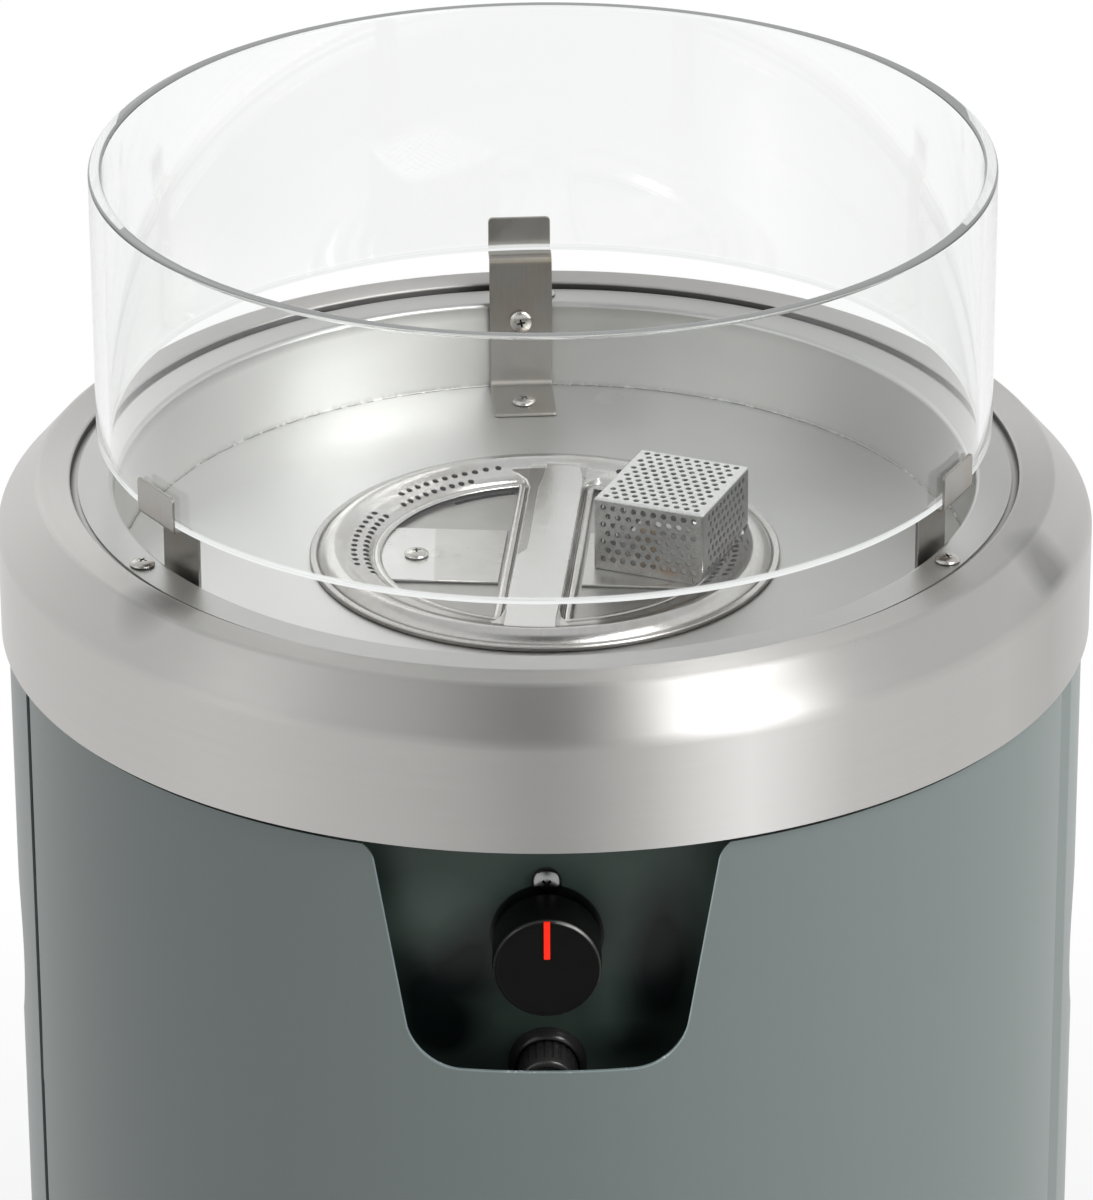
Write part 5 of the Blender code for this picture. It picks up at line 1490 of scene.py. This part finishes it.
kept = {"partition": zincSteel, "mixing_tube": zincSteel, "gas_jet": brass, "gas_pipe": brass,
        "gas_valve": brass, "hose_inlet": brass, "valve_spindle": zincSteel,
        "igniter_body": blackPlastic, "catch_magnet": blackPlastic,
        "hinge_bracket_top": zincSteel, "hinge_bracket_bottom": zincSteel,
        "hinge_pin_top": zincSteel, "hinge_pin_bottom": zincSteel}
for node, material in kept.items():
    dress(nodes[node], material)


# Floor, studio and camera

stage = {"size": 14.0}


def makeFloor():
    piece = add("plane", "floor", size=stage["size"])
    made = Finish("paleFloor", Roughness=0.7)
    clouds = made.noise(made.place(), 0.6, 3.0)
    tone = made.blend(clouds, (0.80, 0.80, 0.80), (0.86, 0.86, 0.86))
    made.set(Base_Color=tone)
    x, y, z = made.axes(made.place())
    away = made.rise(made.reach(x, y), 0.35, 1.3)
    mirrored, clear = made.whiteRays()
    white = made.node("Emission", inputs={"Color": (1, 1, 1), "Strength": 1.0})
    # in mirrored rays a darker stretch lies before the object, as in the photograph's studio
    front = (made.band(x, 0.12, 0.50) * 1.6).capped() * made.rise(y, -0.5, -1.1)
    share = clear.math("MAXIMUM", mirrored * (1.0 - front * 0.92))
    made.cover((away * 0.45 + 0.55) * share, white)
    dress(piece, made.material)


lamps = {
    "keyRight": {"at": (1.20, -1.16, 2.85), "size": (1.1, 0.8), "power": 28, "shine": True},
    "sideRight": {"at": (2.5, -1.3, 1.2), "size": (1.0, 1.8), "power": 34, "shine": False},
    "fillLeft": {"at": (-2.2, -1.0, 2.3), "size": (1.2, 1.2), "power": 4, "shine": True},
    "backLeft": {"at": (-1.05, 2.7, 2.40), "size": (1.6, 1.4), "power": 5, "shine": True}}


def makeLamps():
    for name, lamp in lamps.items():
        light = bpy.data.lights.new(name, "AREA")
        light.shape = "RECTANGLE"
        light.size, light.size_y = lamp["size"]
        light.energy = lamp["power"]
        holder = bpy.data.objects.new(name, light)
        holder.location = lamp["at"]
        aim = Vector((0, 0, 0.85)) - Vector(lamp["at"])
        holder.rotation_euler = aim.to_track_quat("-Z", "Y").to_euler()
        holder.visible_camera = False
        holder.visible_glossy = lamp["shine"]
        bpy.context.collection.objects.link(holder)


def makeWorld():
    # straight rays meet plain white; mirrored ones a white sweep with a dimmer room above it
    world = bpy.data.worlds.new("studio")
    bpy.context.scene.world = world
    world.use_nodes = True
    made = Shading(world.node_tree)
    made.tree.nodes.clear()
    output = made.tree.nodes.new("ShaderNodeOutputWorld")
    x, y, z = made.axes(made.node("TexCoord", out="Generated"))
    mirrored, clear = made.whiteRays()
    room = made.rise(z, 0.10, 0.45)
    gap = made.band(x, 0.0, 0.42) * made.rise(y, 0.05, -0.30) * made.rise(z, -0.05, 0.30)
    tone = made.blend(room, (1, 1, 1), (0.74, 0.745, 0.75))
    tone = made.blend(gap.capped(), tone, (0.03, 0.03, 0.03))
    soft = made.node("Background", inputs={"Color": (0.86, 0.87, 0.88), "Strength": 0.55})
    mirror = made.node("Background", inputs={"Color": tone, "Strength": 1.0})
    white = made.node("Background", inputs={"Color": (1, 1, 1), "Strength": 1.0})
    mixed = made.node("MixShader", inputs={0: mirrored, 1: soft, 2: mirror})
    mixed = made.node("MixShader", inputs={0: clear, 1: mixed, 2: white})
    made.tree.links.new(mixed.socket, output.inputs["Surface"])


# the lens and the place come from measuring the rims and the body in the photograph
eye = {"at": (0.0, -2.9744, 2.1937), "down": 25.0865, "roll": -0.291, "lens": 213.85,
       "shift": 0.0011}


def makeCamera():
    data = bpy.data.cameras.new("camera")
    data.sensor_width = 36
    data.lens = eye["lens"]
    data.shift_x = eye["shift"]
    data.clip_end = 60
    holder = bpy.data.objects.new("camera", data)
    tilt = Matrix.Rotation(math.radians(90 - eye["down"]), 4, "X")
    roll = turned(eye["roll"])
    holder.matrix_world = Matrix.Translation(eye["at"]) @ tilt @ roll
    bpy.context.collection.objects.link(holder)
    bpy.context.scene.camera = holder


makeFloor()
makeLamps()
makeWorld()
makeCamera()
bpy.context.scene.view_settings.view_transform = "Standard"
print("stage made")
